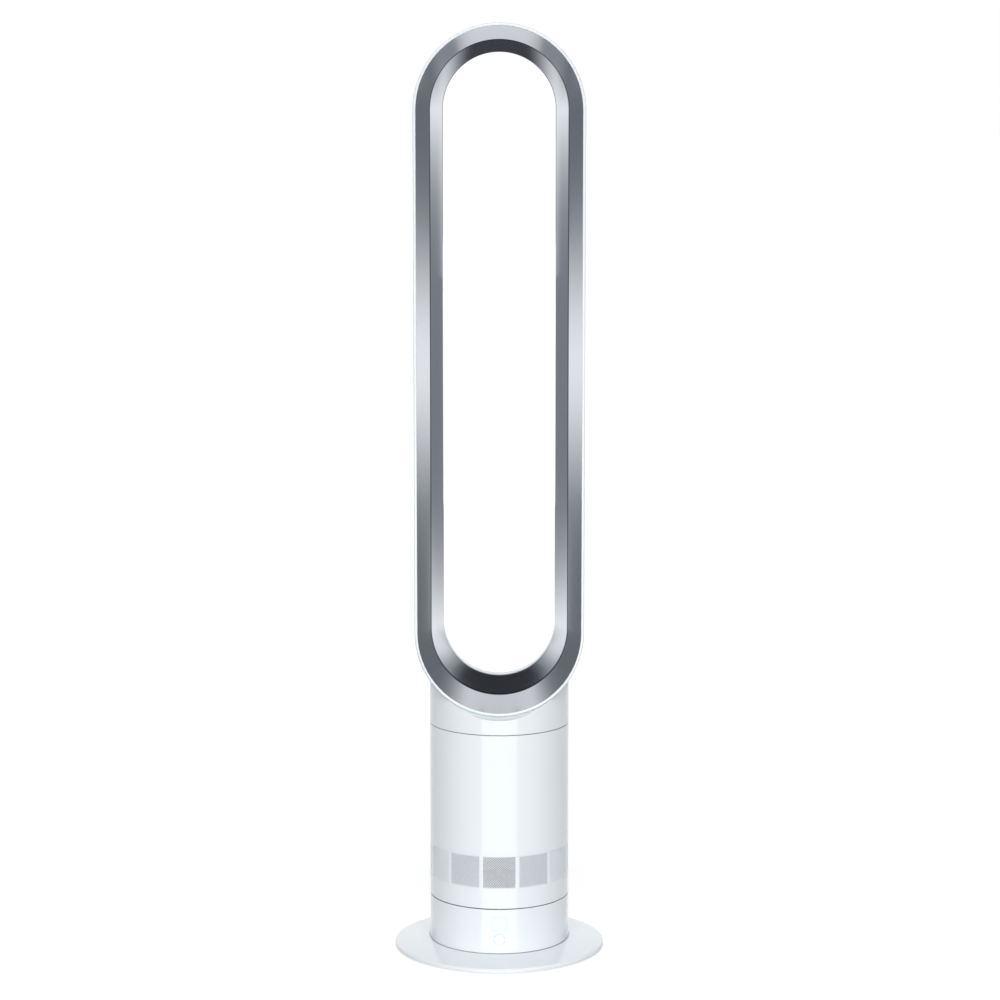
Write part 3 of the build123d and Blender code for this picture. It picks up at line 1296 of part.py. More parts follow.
def rear_cover_section():
    """Curled back wall: a long quarter ellipse out to in, then a short one to the lip."""
    back = LOOP_BACK_Y - LOOP_WIDEST_Y
    curl = LOOP_BACK_Y - LIP_Y
    side_r = LOOP_R - CREST_R
    curl_r = CREST_R - LIP_R
    outer = EllipticalCenterArc((CREST_R, LOOP_WIDEST_Y), side_r, back, 0, arc_size=QUARTER)
    crest = EllipticalCenterArc((CREST_R, LIP_Y), curl_r, curl, QUARTER, arc_size=QUARTER)
    lip_in_r = LIP_R + LIP_WALL
    inner_crest = EllipticalCenterArc(
        (CREST_R, LIP_Y), CREST_R - lip_in_r, curl - COVER_WALL, QUARTER, arc_size=QUARTER
    )
    inner = EllipticalCenterArc(
        (CREST_R, LOOP_WIDEST_Y), side_r - COVER_WALL, back - COVER_WALL, 0, arc_size=QUARTER
    )
    lip = Polyline(
        (LIP_R, LIP_Y),
        (LIP_R + LIP_LEAN, LIP_TIP_Y),
        (LIP_R + LIP_LEAN + LIP_TIP_T, LIP_TIP_Y),
        (lip_in_r, LIP_Y),
    )
    seat = Line((LOOP_R - COVER_WALL, LOOP_WIDEST_Y), (LOOP_R, LOOP_WIDEST_Y))
    wall = make_face([outer, crest, lip, inner_crest, inner, seat])
    tongue_r = LOOP_INNER_R + TONGUE_T / 2
    tongue = Pos(tongue_r, LOOP_WIDEST_Y + TONGUE_L / 2) * Rectangle(TONGUE_T, TONGUE_L)
    return wall - tongue


def diffuser_section():
    """Inner band, throat and rolled nose, all one wall thickness."""
    front = (BAND_R, BAND_Y)
    nose = (THROAT_R + NOSE_R, THROAT_Y)
    reach = math.dist(front, nose)
    towards = math.degrees(math.atan2(front[1] - nose[1], front[0] - nose[0]))
    touch = towards - math.degrees(math.acos(NOSE_R / reach)) + 360
    middle = (touch + NOSE_END_DEG) / 2
    inner_r = NOSE_R - DIFFUSER_WALL
    back_front = polar(front, DIFFUSER_WALL, touch - 180)
    end_out = polar(nose, NOSE_R, NOSE_END_DEG)
    end_in = polar(nose, inner_r, NOSE_END_DEG)
    end_middle = polar(nose, (NOSE_R + inner_r) / 2, NOSE_END_DEG)
    end_tip = polar(end_middle, DIFFUSER_WALL / 2, NOSE_END_DEG - 90)
    touch_out = polar(nose, NOSE_R, touch)
    touch_in = polar(nose, inner_r, touch)
    return make_face(
        [
            Line(front, touch_out),
            ThreePointArc(touch_out, polar(nose, NOSE_R, middle), end_out),
            ThreePointArc(end_out, end_tip, end_in),
            ThreePointArc(end_in, polar(nose, inner_r, middle), touch_in),
            Line(touch_in, back_front),
            Line(back_front, front),
        ]
    )


def bezel_section():
    """Outer band, seated in the shell's rim, with a leg that grips the inner band's edge."""
    rim = (LOOP_INNER_R, LOOP_FRONT_Y + BEZEL_RECESS)
    inner_edge = (BAND_R, BAND_Y)
    length = math.dist(rim, inner_edge)
    along = ((rim[0] - inner_edge[0]) / length, (rim[1] - inner_edge[1]) / length)
    across = (-along[1], along[0])
    near = (inner_edge[0] + BAND_GAP * along[0], inner_edge[1] + BAND_GAP * along[1])
    near_back = (near[0] + BEZEL_T * across[0], near[1] + BEZEL_T * across[1])
    run = (LOOP_INNER_R - near_back[0]) / along[0]
    rim_back = (LOOP_INNER_R, near_back[1] + run * along[1])
    band = make_face(Polyline(rim, near, near_back, rim_back, close=True))
    leg_r = BAND_R + BAND_LEG_INSET + BAND_LEG_T / 2
    leg_y = BAND_Y - BAND_LEG_INSET + BAND_LEG_L / 2
    leg = Pos(leg_r, leg_y) * Rectangle(BAND_LEG_T, BAND_LEG_L)
    return band + leg - diffuser_section()


def spacer_section():
    """Web that fills the air slot between the lip and the nose."""
    low = (SPACER_IN_R, SPACER_LOW_Y)
    size = (SPACER_OUT_R - low[0], SPACER_HIGH_Y - SPACER_LOW_Y)
    area = Pos(low[0] + size[0] / 2, low[1] + size[1] / 2) * Rectangle(*size)
    rest = area - diffuser_section() - rear_cover_section()
    return rest.faces().sort_by(SortBy.AREA)[-1]


def loop_top(section):
    """Carry a section round the loop's upper half turn."""
    axis = Axis((0, 0, LOOP_HIGH_Z), (0, -1, 0))
    return revolve(Pos(0, 0, LOOP_HIGH_Z) * section, axis, 180)


def loop_bottom(section):
    """Carry a section round the loop's lower half turn."""
    axis = Axis((0, 0, LOOP_LOW_Z), (0, 1, 0))
    return revolve(Pos(0, 0, LOOP_LOW_Z) * section, axis, 180)


def loop_sides(section):
    """Carry a section along the two straight legs."""
    leg = Pos(0, 0, LOOP_LOW_Z) * extrude(section, LOOP_LEG_L)
    return [leg, mirror(leg, Plane.YZ)]


def loop_ring(section):
    """The whole way round, as one piece."""
    right, left = loop_sides(section)
    return right + [left, loop_top(section), loop_bottom(section)]


def port():
    """Air passage from the neck into the loop."""
    return block((-PORT_HALF_W, PORT_FRONT_Y, NECK_LOW_Z), (PORT_HALF_W, PORT_BACK_Y, LOOP_LOW_Z))


def loop_screw_places():
    """Frames at the neck's roof, looking down and away from the loop's lower centre."""
    for tilt in (-LOOP_SCREW_TILT, LOOP_SCREW_TILT):
        for y in LOOP_SCREW_YS:
            yield Pos(0, y, LOOP_LOW_Z) * Rot(0, tilt, 0)


def radial_pin(place, radius, near, far):
    """Cylinder on a screw's line, between two distances from the loop's lower centre."""
    return place * Pos(0, 0, -far) * extrude(Circle(radius), far - near)


def loop_shell():
    boss_in = LOOP_R - LOOP_SCREW_IN - SCREW_TIP
    shell = loop_ring(shell_section()) - port()
    shell += [
        radial_pin(place, LOOP_BOSS_R, boss_in, LOOP_INNER_R + OVER) for place in loop_screw_places()
    ]
    return shell - [
        radial_pin(place, LOOP_SCREW_R, LOOP_R - LOOP_SCREW_IN, LOOP_R + OVER)
        for place in loop_screw_places()
    ]


def save_lengths(name, section):
    """One skin of the loop, butted together from its two half turns and its straight sides."""
    save(f"{name}_top", loop_top(section))
    save(f"{name}_bottom", loop_bottom(section))
    save(f"{name}_sides", loop_sides(section))


def slot_spacers():
    section = spacer_section()
    spacer = extrude(section, SPACER_T / 2, both=True)
    slice_deg = math.degrees(SPACER_T / SPACER_OUT_R)
    curved = Rot(0, slice_deg / 2, 0) * revolve(section, Axis((0, 0, 0), (0, -1, 0)), slice_deg)
    spacers = []
    for i in range(LEG_SPACERS):
        z = LOOP_LOW_Z + LOOP_LEG_L * (i + 0.5) / LEG_SPACERS
        right = Pos(0, 0, z) * spacer
        spacers += [right, mirror(right, Plane.YZ)]
    for i in range(END_SPACERS):
        turn = 180 * (i + 0.5) / END_SPACERS
        spacers.append(Pos(0, 0, LOOP_HIGH_Z) * Rot(0, -turn, 0) * curved)
        spacers.append(Pos(0, 0, LOOP_LOW_Z) * Rot(0, turn, 0) * curved)
    return spacers


# ---- neck ----
def saddle(radius):
    """Cylinder along Y, concentric with the loop's lower end."""
    return Pos(0, 0, LOOP_LOW_Z) * Rot(90, 0, 0) * Cylinder(radius, 4 * BODY_R)


def neck():
    body = disc(BODY_R, NECK_LOW_Z, LOOP_LOW_Z) - saddle(LOOP_R)
    body -= disc(BODY_R - NECK_WALL, NECK_FLOOR_Z, LOOP_LOW_Z) - saddle(LOOP_R + NECK_WALL)
    body -= disc(SPIGOT_IN_R, NECK_LOW_Z, NECK_FLOOR_Z)
    body += ring(SPIGOT_IN_R, SPIGOT_OUT_R, SPIGOT_LOW_Z, NECK_FLOOR_Z)
    lug_in = SPIGOT_OUT_R - OVER
    lug_top = SPIGOT_LOW_Z + LUG_H
    body += [sector(lug_in, LUG_R, SPIGOT_LOW_Z, lug_top, angle, LUG_SPAN) for angle in lug_angles()]
    body -= port()
    return body - [
        radial_pin(place, LOOP_SCREW_R + FIT, LOOP_R - OVER, LOOP_R + NECK_WALL + OVER)
        for place in loop_screw_places()
    ]


def loop_screws():
    seat = LOOP_R + NECK_WALL
    return [
        radial_pin(place, LOOP_SCREW_R, LOOP_R - LOOP_SCREW_IN, seat)
        + radial_pin(place, SCREW_HEAD_R, seat, seat + SCREW_HEAD_H)
        for place in loop_screw_places()
    ]


def flow_divider():
    """Wedge that splits the rising air between the loop's two legs."""
    half = DIVIDER_T / 2
    wide = DIVIDER_TOP_T / 2
    shoulder = DIVIDER_HIGH_Z - DIVIDER_FLARE
    outline = Polyline(
        (0, DIVIDER_LOW_Z),
        (half, DIVIDER_LOW_Z + DIVIDER_NOSE),
        (half, shoulder),
        (wide, DIVIDER_HIGH_Z),
        (-wide, DIVIDER_HIGH_Z),
        (-half, shoulder),
        (-half, DIVIDER_LOW_Z + DIVIDER_NOSE),
        close=True,
    )
    wedge = extrude(Plane.XZ * make_face(outline), -(PORT_BACK_Y - PORT_FRONT_Y))
    return Pos(0, PORT_FRONT_Y, 0) * wedge


def main():
    os.makedirs("parts", exist_ok=True)
    save("foot_disc", foot_disc())
    save("ballast_plate", ballast_plate())
    save("foot_cover", foot_cover())
    save("foot_pads", foot_pads())
    save("foot_screws", foot_screws())
    save("lower_housing", lower_housing())
    save("display_window", display_window())
    save("display_module", display_module())
    save("remote_receiver", remote_receiver())
    save("control_board", control_board())
    save("button_switch", button_switch())
    save("power_button", power_button())
    save("power_board", power_board())
    save("cord_gland", cord_gland())
    save("base_deck", base_deck())
    save("deck_screws", deck_screws())
    save("thrust_ring", thrust_ring())
    save("swivel_motor", swivel_motor())
    save("swivel_motor_screws", swivel_motor_screws())
    save("drive_pinion", drive_pinion())
    save("pinion_shaft", pinion_shaft())
    save("turntable", turntable())
    save("sector_gear", sector_gear())
    save("gear_screws", gear_screws())
    save("retaining_ring", retaining_ring())
    save("main_housing", main_housing())
    save("housing_screws", housing_screws())
    save("inlet_grille", inlet_grille())
    save("duct_seal", duct_seal())
    save("air_duct", air_duct())
    save("silencer_foam", silencer_foam())
    save("diffuser_ring", diffuser_ring())
    save("motor_bucket", motor_bucket())
    save("bucket_cap", bucket_cap())
    save("lower_bearing", bearing(LOWER_BEARING_Z))
    save("upper_bearing", bearing(UPPER_BEARING_Z))
    save("stator_core", stator_core())
    save("stator_coils", stator_coils())
    save("motor_board", motor_board())
    save("lock_ring", lock_ring())
    save("loop_seal", loop_seal())
    save("impeller", impeller())
    save("motor_shaft", motor_shaft())
    save("rotor_magnet", rotor_magnet())
    save("impeller_nut", impeller_nut())
    save("neck", neck())
    save("flow_divider", flow_divider())
    save("loop_screws", loop_screws())
    save("loop_shell", loop_shell())
    save_lengths("loop_rear_cover", rear_cover_section())
    save_lengths("front_bezel", bezel_section())
    save_lengths("inner_diffuser", diffuser_section())
    save("slot_spacers", slot_spacers())


main()
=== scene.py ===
import json
import math

import bpy
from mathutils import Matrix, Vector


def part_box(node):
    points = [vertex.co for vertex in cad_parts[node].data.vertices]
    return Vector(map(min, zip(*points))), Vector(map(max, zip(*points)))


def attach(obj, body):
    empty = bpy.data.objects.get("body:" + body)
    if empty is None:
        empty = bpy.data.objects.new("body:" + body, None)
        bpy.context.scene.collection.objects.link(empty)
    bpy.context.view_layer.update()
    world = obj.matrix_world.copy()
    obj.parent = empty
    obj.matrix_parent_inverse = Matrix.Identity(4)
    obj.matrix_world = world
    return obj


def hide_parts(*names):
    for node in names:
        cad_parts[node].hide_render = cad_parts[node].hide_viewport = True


# Looks of the bladeless tower fan. Metres, +Z up, the fan faces -Y.

MM = 0.001

# ---- the photograph's camera ----
CAMERA_AT = (0.00075, -3.263355, 0.979114)
CAMERA_PITCH_DEG = 8.422
LENS_MM = 109.569
SENSOR_MM = 36.0

# ---- loop sections, as (distance from the loop's middle line, y) ----
ARC_STEPS = 72             # mesh steps in each half turn
LEG_STEPS = 24             # mesh steps along each straight leg
SHELL_WALL = 3.2 * MM
WIDEST_Y = 12.0 * MM       # where the straight outer wall meets the curled back
CREST_R = 75.0 * MM        # radius of the rearmost line
LIP_R = 61.0 * MM
LIP_Y = 34.0 * MM
LIP_TIP_Y = 29.6 * MM
LIP_TIP_T = 0.7 * MM
COVER_WALL = 2.6 * MM
CURL_STEPS = 20
BEZEL_RECESS = 0.6 * MM
BEZEL_T = 1.8 * MM
BAND_R = 73.7 * MM         # where the outer and the inner band meet
BAND_Y = -19.6 * MM
BAND_GAP = 0.6 * MM
THROAT_R = 60.6 * MM       # narrowest half width of the opening
THROAT_Y = 22.0 * MM
NOSE_R = 12.0 * MM
NOSE_END_DEG = 112.0
NOSE_STEPS = 20
DIFFUSER_WALL = 2.5 * MM

# ---- inlet grille ----
PANELS = 12                # all round the drum, one of them in the middle of the front
BAR = 3.3 * MM             # plain bar between two panels
PANEL_INSET = 0.15 * MM    # panel face behind the drum's face
PANEL_T = 4.0 * MM         # so deep that a panel seen from the side shows only its holes' walls
HOLE_COLUMNS = 14          # holes in a full row
HOLE_ROWS = 27             # odd, so that the first and the last row are full ones
HOLE_SHARE = 0.75          # a hole's width over its diamond's
LAST_I = 2 * HOLE_COLUMNS  # the lattice's points are half a diamond apart
LAST_J = HOLE_ROWS + 1
FRAME_H = 2.5 * MM         # how far a panel's hidden frame passes its window

# ---- finishes ----
SHARP_DEG = 35.0           # a larger angle between two faces stays a sharp edge
NOISE_DETAIL = 3.0
RELIEF_H = 0.05 * MM
BLACK = (0.0, 0.0, 0.0)
WHITE = (1.0, 1.0, 1.0)

# A fine noise mixes the two shades and spans the roughness. What isn't given here is as in surface().
FINISHES = {
    "white_plastic": dict(
        shades=((0.795, 0.84, 0.875), (0.81, 0.855, 0.89)), roughness=(0.10, 0.14), bump=0.02, coat=0.3
    ),
    "silver_paint": dict(
        shades=((0.665, 0.695, 0.745), (0.685, 0.715, 0.765)), roughness=(0.08, 0.105),
        metallic=1.0, grain=2500.0, bump=0.003,
    ),
    "window_plastic": dict(
        shades=((0.80, 0.825, 0.86), (0.82, 0.84, 0.87)), roughness=(0.08, 0.11), bump=0.01
    ),
    "grey_plastic": dict(shades=((0.16, 0.165, 0.17), (0.19, 0.195, 0.2)), roughness=(0.5, 0.6)),
    "black_plastic": dict(shades=((0.02, 0.02, 0.022), (0.03, 0.03, 0.032)), roughness=(0.45, 0.6)),
    "impeller_plastic": dict(shades=((0.05, 0.05, 0.055), (0.07, 0.07, 0.08)), roughness=(0.4, 0.5)),
    "nylon": dict(shades=((0.78, 0.76, 0.70), (0.83, 0.81, 0.76)), roughness=(0.4, 0.5)),
    "pad_rubber": dict(
        shades=((0.02, 0.02, 0.02), (0.035, 0.035, 0.035)), roughness=(0.7, 0.85), bump=0.3
    ),
    "seal_rubber": dict(
        shades=((0.03, 0.03, 0.03), (0.045, 0.045, 0.045)), roughness=(0.6, 0.75), bump=0.2
    ),
    "foam": dict(
        shades=((0.03, 0.03, 0.032), (0.07, 0.07, 0.075)), roughness=(0.9, 1.0), grain=900.0, bump=0.9
    ),
    "ballast_steel": dict(
        shades=((0.38, 0.38, 0.40), (0.46, 0.46, 0.48)), roughness=(0.35, 0.45), metallic=1.0
    ),
    "screw_steel": dict(
        shades=((0.50, 0.50, 0.52), (0.58, 0.58, 0.60)), roughness=(0.25, 0.35), metallic=1.0
    ),
    "shaft_steel": dict(
        shades=((0.56, 0.56, 0.58), (0.64, 0.64, 0.66)), roughness=(0.15, 0.22), metallic=1.0
    ),
    "bearing_steel": dict(
        shades=((0.66, 0.66, 0.68), (0.72, 0.72, 0.74)), roughness=(0.08, 0.14), metallic=1.0
    ),
    "motor_can": dict(
        shades=((0.52, 0.52, 0.54), (0.60, 0.60, 0.62)), roughness=(0.25, 0.32), metallic=1.0
    ),
    "laminated_steel": dict(
        shades=((0.24, 0.24, 0.26), (0.34, 0.34, 0.36)), roughness=(0.4, 0.5), metallic=1.0
    ),
    "copper_wire": dict(
        shades=((0.55, 0.25, 0.10), (0.70, 0.36, 0.16)), roughness=(0.25, 0.4), metallic=1.0
    ),
    "magnet": dict(shades=((0.10, 0.10, 0.11), (0.15, 0.15, 0.16)), roughness=(0.5, 0.6), metallic=0.6),
    "circuit_board": dict(shades=((0.01, 0.10, 0.04), (0.02, 0.14, 0.06)), roughness=(0.3, 0.45)),
}

# painted shadow where the drums meet the foot, each other and the neck, darkening the white's colour
# along each joint:
# (height of the line, how far it is darkest each way, how far it reaches each way)
PAINTED_DRUM_JOINT_SHADOWS = (
    (10.7 * MM, 0.2 * MM, 0.4 * MM),
    (60.0 * MM, 0.4 * MM, 0.8 * MM),
    (251.9 * MM, 0.3 * MM, 0.7 * MM),
)
# share of the white's colour left in the middle of each painted joint shadow
PAINTED_DRUM_SHADOW_SHARE = 0.5
# painted shadow line where the two silver bands meet: how far it is darkest and how far it reaches each
# way
PAINTED_BAND_SHADOW_REACH = (0.3 * MM, 0.8 * MM)
# share of the silver's colour left in the middle of that painted shadow line
PAINTED_BAND_SHADOW_SHARE = 0.3

# ---- floor and light; a shade of 1 is white ----
FLOOR_SIZE = 60.0
FLOOR_COLOUR = (0.5, 0.5, 0.5)
FLOOR_GLOW = 0.64          # for the camera only; it lifts the lit floor to white
FILL = (0.21, 0.21, 0.212)         # the world's light on the object
FRONT_LIGHT = 0.88
FRONT_HEIGHT_DEG = 30.0
REAR_LIGHT = 0.65
REAR_TURN_DEG = 162.0      # the two rear lights stand this far round from the front, left and right
REAR_HEIGHT_DEG = 6.0
LIGHT_SPREAD_DEG = 50.0

# ---- card in front, which the drum mirrors as an upright stripe ----
STRIPE_Y = -2.4
STRIPE_HALF_X = 1.32
STRIPE_LOW_Z = -1.2
STRIPE_HIGH_Z = 0.6
STRIPE_LIGHT = 2.7

# ---- graded cards behind the loop, mirrored by the silver bands ----
# Upper card: top arcs and upper legs. Lower card: lower legs and the bottom arcs' sides.
# Far card: what passes between the two.
NEAR_Y = 0.25
FAR_Y = 1.0
UPPER_HALF_X = 0.27
UPPER_HIGH_Z = 1.0
UPPER_ARCH_H = 0.208       # height of the upper card's arched lower edge
LOWER_HALF_X = 0.34
LOWER_LOW_Z = 0.23
LOWER_HIGH_Z = 0.45
FAR_HALF_X = 1.45
FAR_LOW_Z = 0.02
FAR_HIGH_Z = 2.1
GATE_HALF_X = 0.55         # the far card stands open here, so that the foot mirrors plain white
GATE_HIGH_Z = 0.95
ARCH_STEPS = 24

# where a leg's mirror image falls: (band's own y, spread per metre behind it)
OUTER_IMAGE = (-0.037, 0.444)
INNER_IMAGE = (-0.001, 0.387)

# shades that the bands send to the camera
OUTER_DARK = 0.125         # darkest parts of the outer band
LEG_LIGHT = 0.62           # added in the bright middle of the outer band's legs
LEG_LIGHT_Z = 0.65         # height of that middle
LEG_LIGHT_W = 0.120        # this far above and below it, about a third of the added light is left
CROWN_LIGHT = 0.46         # added on the crowns of the outer band's arcs
INNER_LIGHT = 0.745        # inner band where leg and arc meet
INNER_GREY = 0.225         # share of it left on the legs' middle
INNER_FADE_Z = 0.062       # this far along the leg, about a third of the fading light is left
INNER_FADE_POWER = 1.3
CROWN_DARK = 0.027         # crown of the inner band's bottom arc
SILVER = 0.705             # mean shade of the silver paint
DARK_TINT = (0.95, 0.985, 1.09)    # the cards are a little bluer where they are dark

# Where the upper card changes its shade. A pair is where a change starts and where it ends. X is the
# distance from the middle plane, and REACH the distance from the point that an arc's image curves round.
UPPER_ARC_Z = 0.908        # height of that point, from which the top arcs' images hang
UPPER_ARC_STRETCH = 1.11   # half an image's width over its height
UPPER_OUTER_REACH = (0.16, 0.18)       # from the inner to the outer band, on the crowns
UPPER_OUTER_CROWN_X = (0.09, 0.105)    # the crowns end here
UPPER_OUTER_X = (0.155, 0.18)          # from the inner to the outer band, at the sides
UPPER_OUTER_LEG_X = (0.185, 0.2)       # from the outer arc to the outer leg
UPPER_OUTER_DIM_X = (0.055, 0.17)      # the crown's added light fades away
UPPER_INNER_LEG_X = (0.102, 0.116)     # from the inner arc to the inner leg
UPPER_INNER_PACE = 0.4                 # how fast the inner arc darkens, where the leg's pace is 1
UPPER_INNER_DIM_X = (0.045, 0.105)     # from the inner arc's crown to its full light
UPPER_INNER_CROWN = 0.08               # share of the light left on that crown

# the lower card
LOWER_INNER_ARC_X = (0.135, 0.15)      # from the inner leg to the inner arc
LOWER_INNER_PACE = 0.3
LOWER_INNER_DIM_Z = (0.36, 0.47)       # the inner arc darkens on the way up
LOWER_INNER_LEFT = 0.35                # to this share
LOWER_OUTER_X = (0.185, 0.2)           # from the inner to the outer band
LOWER_OUTER_LEG_X = (0.225, 0.24)      # the outer leg's added light ends

# the far card
FAR_OUTER_LEG_X = (0.82, 0.88)         # from the inner to the outer leg
FAR_ARC_Z = 0.28                       # the bottom arcs' images stand on this height
FAR_ARC_STRETCH = 1.5                  # an image's height over half its width
FAR_ARC_START_Z = (0.8, 0.86)          # from the legs to the arcs
FAR_OUTER_REACH = (0.92, 0.97)         # from the inner to the outer band
FAR_OUTER_DIM_X = (0.7, 1.2)           # the crown's added light fades away
FAR_INNER_DIM_Z = (0.8, 1.1)           # the inner arc darkens on the way up
FAR_INNER_LIGHT = 0.17                 # from this shade


# ---- materials ----
def link(tree, source, target):
    tree.links.new(source, target)


class Value:
    """A number worked out by nodes, so that a sum of them is written as a sum."""

    def __init__(self, tree, socket):
        self.tree = tree
        self.socket = socket

    def do(self, operation, *others):
        node = self.tree.nodes.new("ShaderNodeMath")
        node.operation = operation
        for place, value in zip(node.inputs, (self, *others)):
            if isinstance(value, Value):
                link(self.tree, value.socket, place)
            else:
                place.default_value = value
        return Value(self.tree, node.outputs["Value"])

    def __add__(self, other):
        return self.do("ADD", other)

    def __sub__(self, other):
        return self.do("SUBTRACT", other)

    def __mul__(self, other):
        return self.do("MULTIPLY", other)

    def __truediv__(self, other):
        return self.do("DIVIDE", other)

    def fade(self, start, end, first=0.0, last=1.0):
        """Smooth change from first to last while the value goes from start to end."""
        node = self.tree.nodes.new("ShaderNodeMapRange")
        node.interpolation_type = "SMOOTHSTEP"
        for name, number in (("From Min", start), ("From Max", end), ("To Min", first), ("To Max", last)):
            node.inputs[name].default_value = number
        link(self.tree, self.socket, node.inputs["Value"])
        return Value(self.tree, node.outputs["Result"])


def blend(first, last, share):
    return first + (last - first) * share


def colour_mix(tree, first, last, share):
    """Socket with a colour between two others, each of which is a colour or a socket."""
    node = tree.nodes.new("ShaderNodeMix")
    node.data_type = "RGBA"
    for name, colour in (("A", first), ("B", last)):
        if isinstance(colour, tuple):
            node.inputs[name].default_value = (*colour, 1.0)
        else:
            link(tree, colour, node.inputs[name])
    link(tree, share, node.inputs["Factor"])
    return node.outputs["Result"]


def side_and_height(tree, place):
    """Distance from the middle plane, and height, of a shaded point."""
    axes = tree.nodes.new("ShaderNodeSeparateXYZ")
    link(tree, place.outputs["Object"], axes.inputs["Vector"])
    side = Value(tree, axes.outputs["X"]).do("ABSOLUTE")
    return side, Value(tree, axes.outputs["Z"])


def painted_drum_joint_shadows(tree, place):
    """1 on plain walls, less within a thin painted shadow line along each joint of the drums."""
    _, height = side_and_height(tree, place)
    shade = 1.0
    for joint_z, dark_reach, reach in PAINTED_DRUM_JOINT_SHADOWS:
        away = (height - joint_z).do("ABSOLUTE")
        shade = away.fade(dark_reach, reach, PAINTED_DRUM_SHADOW_SHARE, 1.0) * shade
    return shade


def painted_band_joint_shadow(tree, place):
    """1 on the silver bands, less along the painted shadow line where the outer and the inner band meet.
    """
    low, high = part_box("loop_shell")
    middle_z = (low.z + high.z) / 2
    half_leg = (high.z - low.z) / 2 - high.x
    side, height = side_and_height(tree, place)
    past_leg = ((height - middle_z).do("ABSOLUTE") - half_leg).do("MAXIMUM", 0.0)
    from_middle_line = (side * side + past_leg * past_leg).do("SQRT")
    away = (from_middle_line - BAND_R).do("ABSOLUTE")
    return away.fade(*PAINTED_BAND_SHADOW_REACH, PAINTED_BAND_SHADOW_SHARE, 1.0)


def surface(name, shades, roughness, metallic=0.0, grain=400.0, bump=0.05, coat=0.0, painted_shade=None):
    """Principled material whose colour, roughness and bump vary with a fine noise.
    Where painted shadow crosses it, the given function tells what share of the colour is left."""
    made = bpy.data.materials.new(name)
    made.use_nodes = True
    tree = made.node_tree
    shader = tree.nodes["Principled BSDF"]
    shader.inputs["Metallic"].default_value = metallic
    shader.inputs["Coat Weight"].default_value = coat

    place = tree.nodes.new("ShaderNodeTexCoord")
    noise = tree.nodes.new("ShaderNodeTexNoise")
    noise.inputs["Scale"].default_value = grain
    noise.inputs["Detail"].default_value = NOISE_DETAIL
    link(tree, place.outputs["Object"], noise.inputs["Vector"])

    colour = colour_mix(tree, *shades, noise.outputs["Fac"])
    if painted_shade:
        colour = colour_mix(tree, BLACK, colour, painted_shade(tree, place).socket)
    link(tree, colour, shader.inputs["Base Color"])

    spread = tree.nodes.new("ShaderNodeMapRange")
    spread.inputs["To Min"].default_value = roughness[0]
    spread.inputs["To Max"].default_value = roughness[1]
    link(tree, noise.outputs["Fac"], spread.inputs["Value"])
    link(tree, spread.outputs["Result"], shader.inputs["Roughness"])

    relief = tree.nodes.new("ShaderNodeBump")
    relief.inputs["Strength"].default_value = bump
    relief.inputs["Distance"].default_value = RELIEF_H
    link(tree, noise.outputs["Fac"], relief.inputs["Height"])
    link(tree, relief.outputs["Normal"], shader.inputs["Normal"])
    return made


def make_materials():
    """Every material, by the name of its slot in the record."""
    # painted joint shadows on the white plastic and on the silver bands
    painted_shade = {"white_plastic": painted_drum_joint_shadows, "silver_paint": painted_band_joint_shadow}
    return {name: surface(name, painted_shade=painted_shade.get(name), **finish) for name, finish in FINISHES.items()}


def dress_nodes(frame, materials):
    """Give every CAD node the material of its slot in the record."""
    for row in frame["record"]["subparts"]:
        mesh = frame["nodes"][row["node"]].data
        for place in range(max(1, len(mesh.materials))):
            if place < len(mesh.materials):
                mesh.materials[place] = materials[row["material_slot"]]
            else:
                mesh.materials.append(materials[row["material_slot"]])


# ---- mesh helpers ----
def new_piece(name, points, faces, material, body, slot_name):
    """Visible mesh that moves with a body."""
    mesh =bpy.data.meshes.new(name)
    mesh.from_pydata(points, [], faces)
    mesh.validate()
    mesh.materials.append(material)
    mesh.shade_smooth()
    mesh.set_sharp_from_angle(angle=math.radians(SHARP_DEG))
    piece = bpy.data.objects.new(name, mesh)
    bpy.context.scene.collection.objects.link(piece)
    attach(piece, body)
    return piece


def arc(centre, radii, start_deg, end_deg, steps):
    """Points of an ellipse's arc in the section plane."""
    points = []
    for i in range(steps + 1):
        angle = math.radians(start_deg + (end_deg - start_deg) * i / steps)
        r = centre[0] + radii[0] * math.cos(angle)
        y = centre[1] + radii[1] * math.sin(angle)
        points.append((r, y))
    return points


def loop_path(low_z, high_z):
    """Stations round the loop: (outward direction in x, in z, height of the centre)."""
    stations = []
    for i in range(ARC_STEPS + 1):
        angle = math.pi * i / ARC_STEPS
        stations.append((math.cos(angle), math.sin(angle), high_z))
    for i in range(1, LEG_STEPS):
        stations.append((-1.0, 0.0, high_z + (low_z - high_z) * i / LEG_STEPS))
    for i in range(ARC_STEPS + 1):
        angle = math.pi * (1 + i / ARC_STEPS)
        stations.append((math.cos(angle), math.sin(angle), low_z))
    for i in range(1, LEG_STEPS):
        stations.append((1.0, 0.0, low_z + (high_z - low_z) * i / LEG_STEPS))
    return stations


def sweep(section, path):
    """Closed section carried round the closed path."""
    points = [(dx * r, y, z + dz * r) for dx, dz, z in path for r, y in section]
    width = len(section)
    faces = []
    for i in range(len(path)):
        j = (i + 1) % len(path)
        for k in range(width):
            m = (k + 1) % width
            faces.append((i * width + k, j * width + k, j * width + m, i * width + m))
    return points, faces


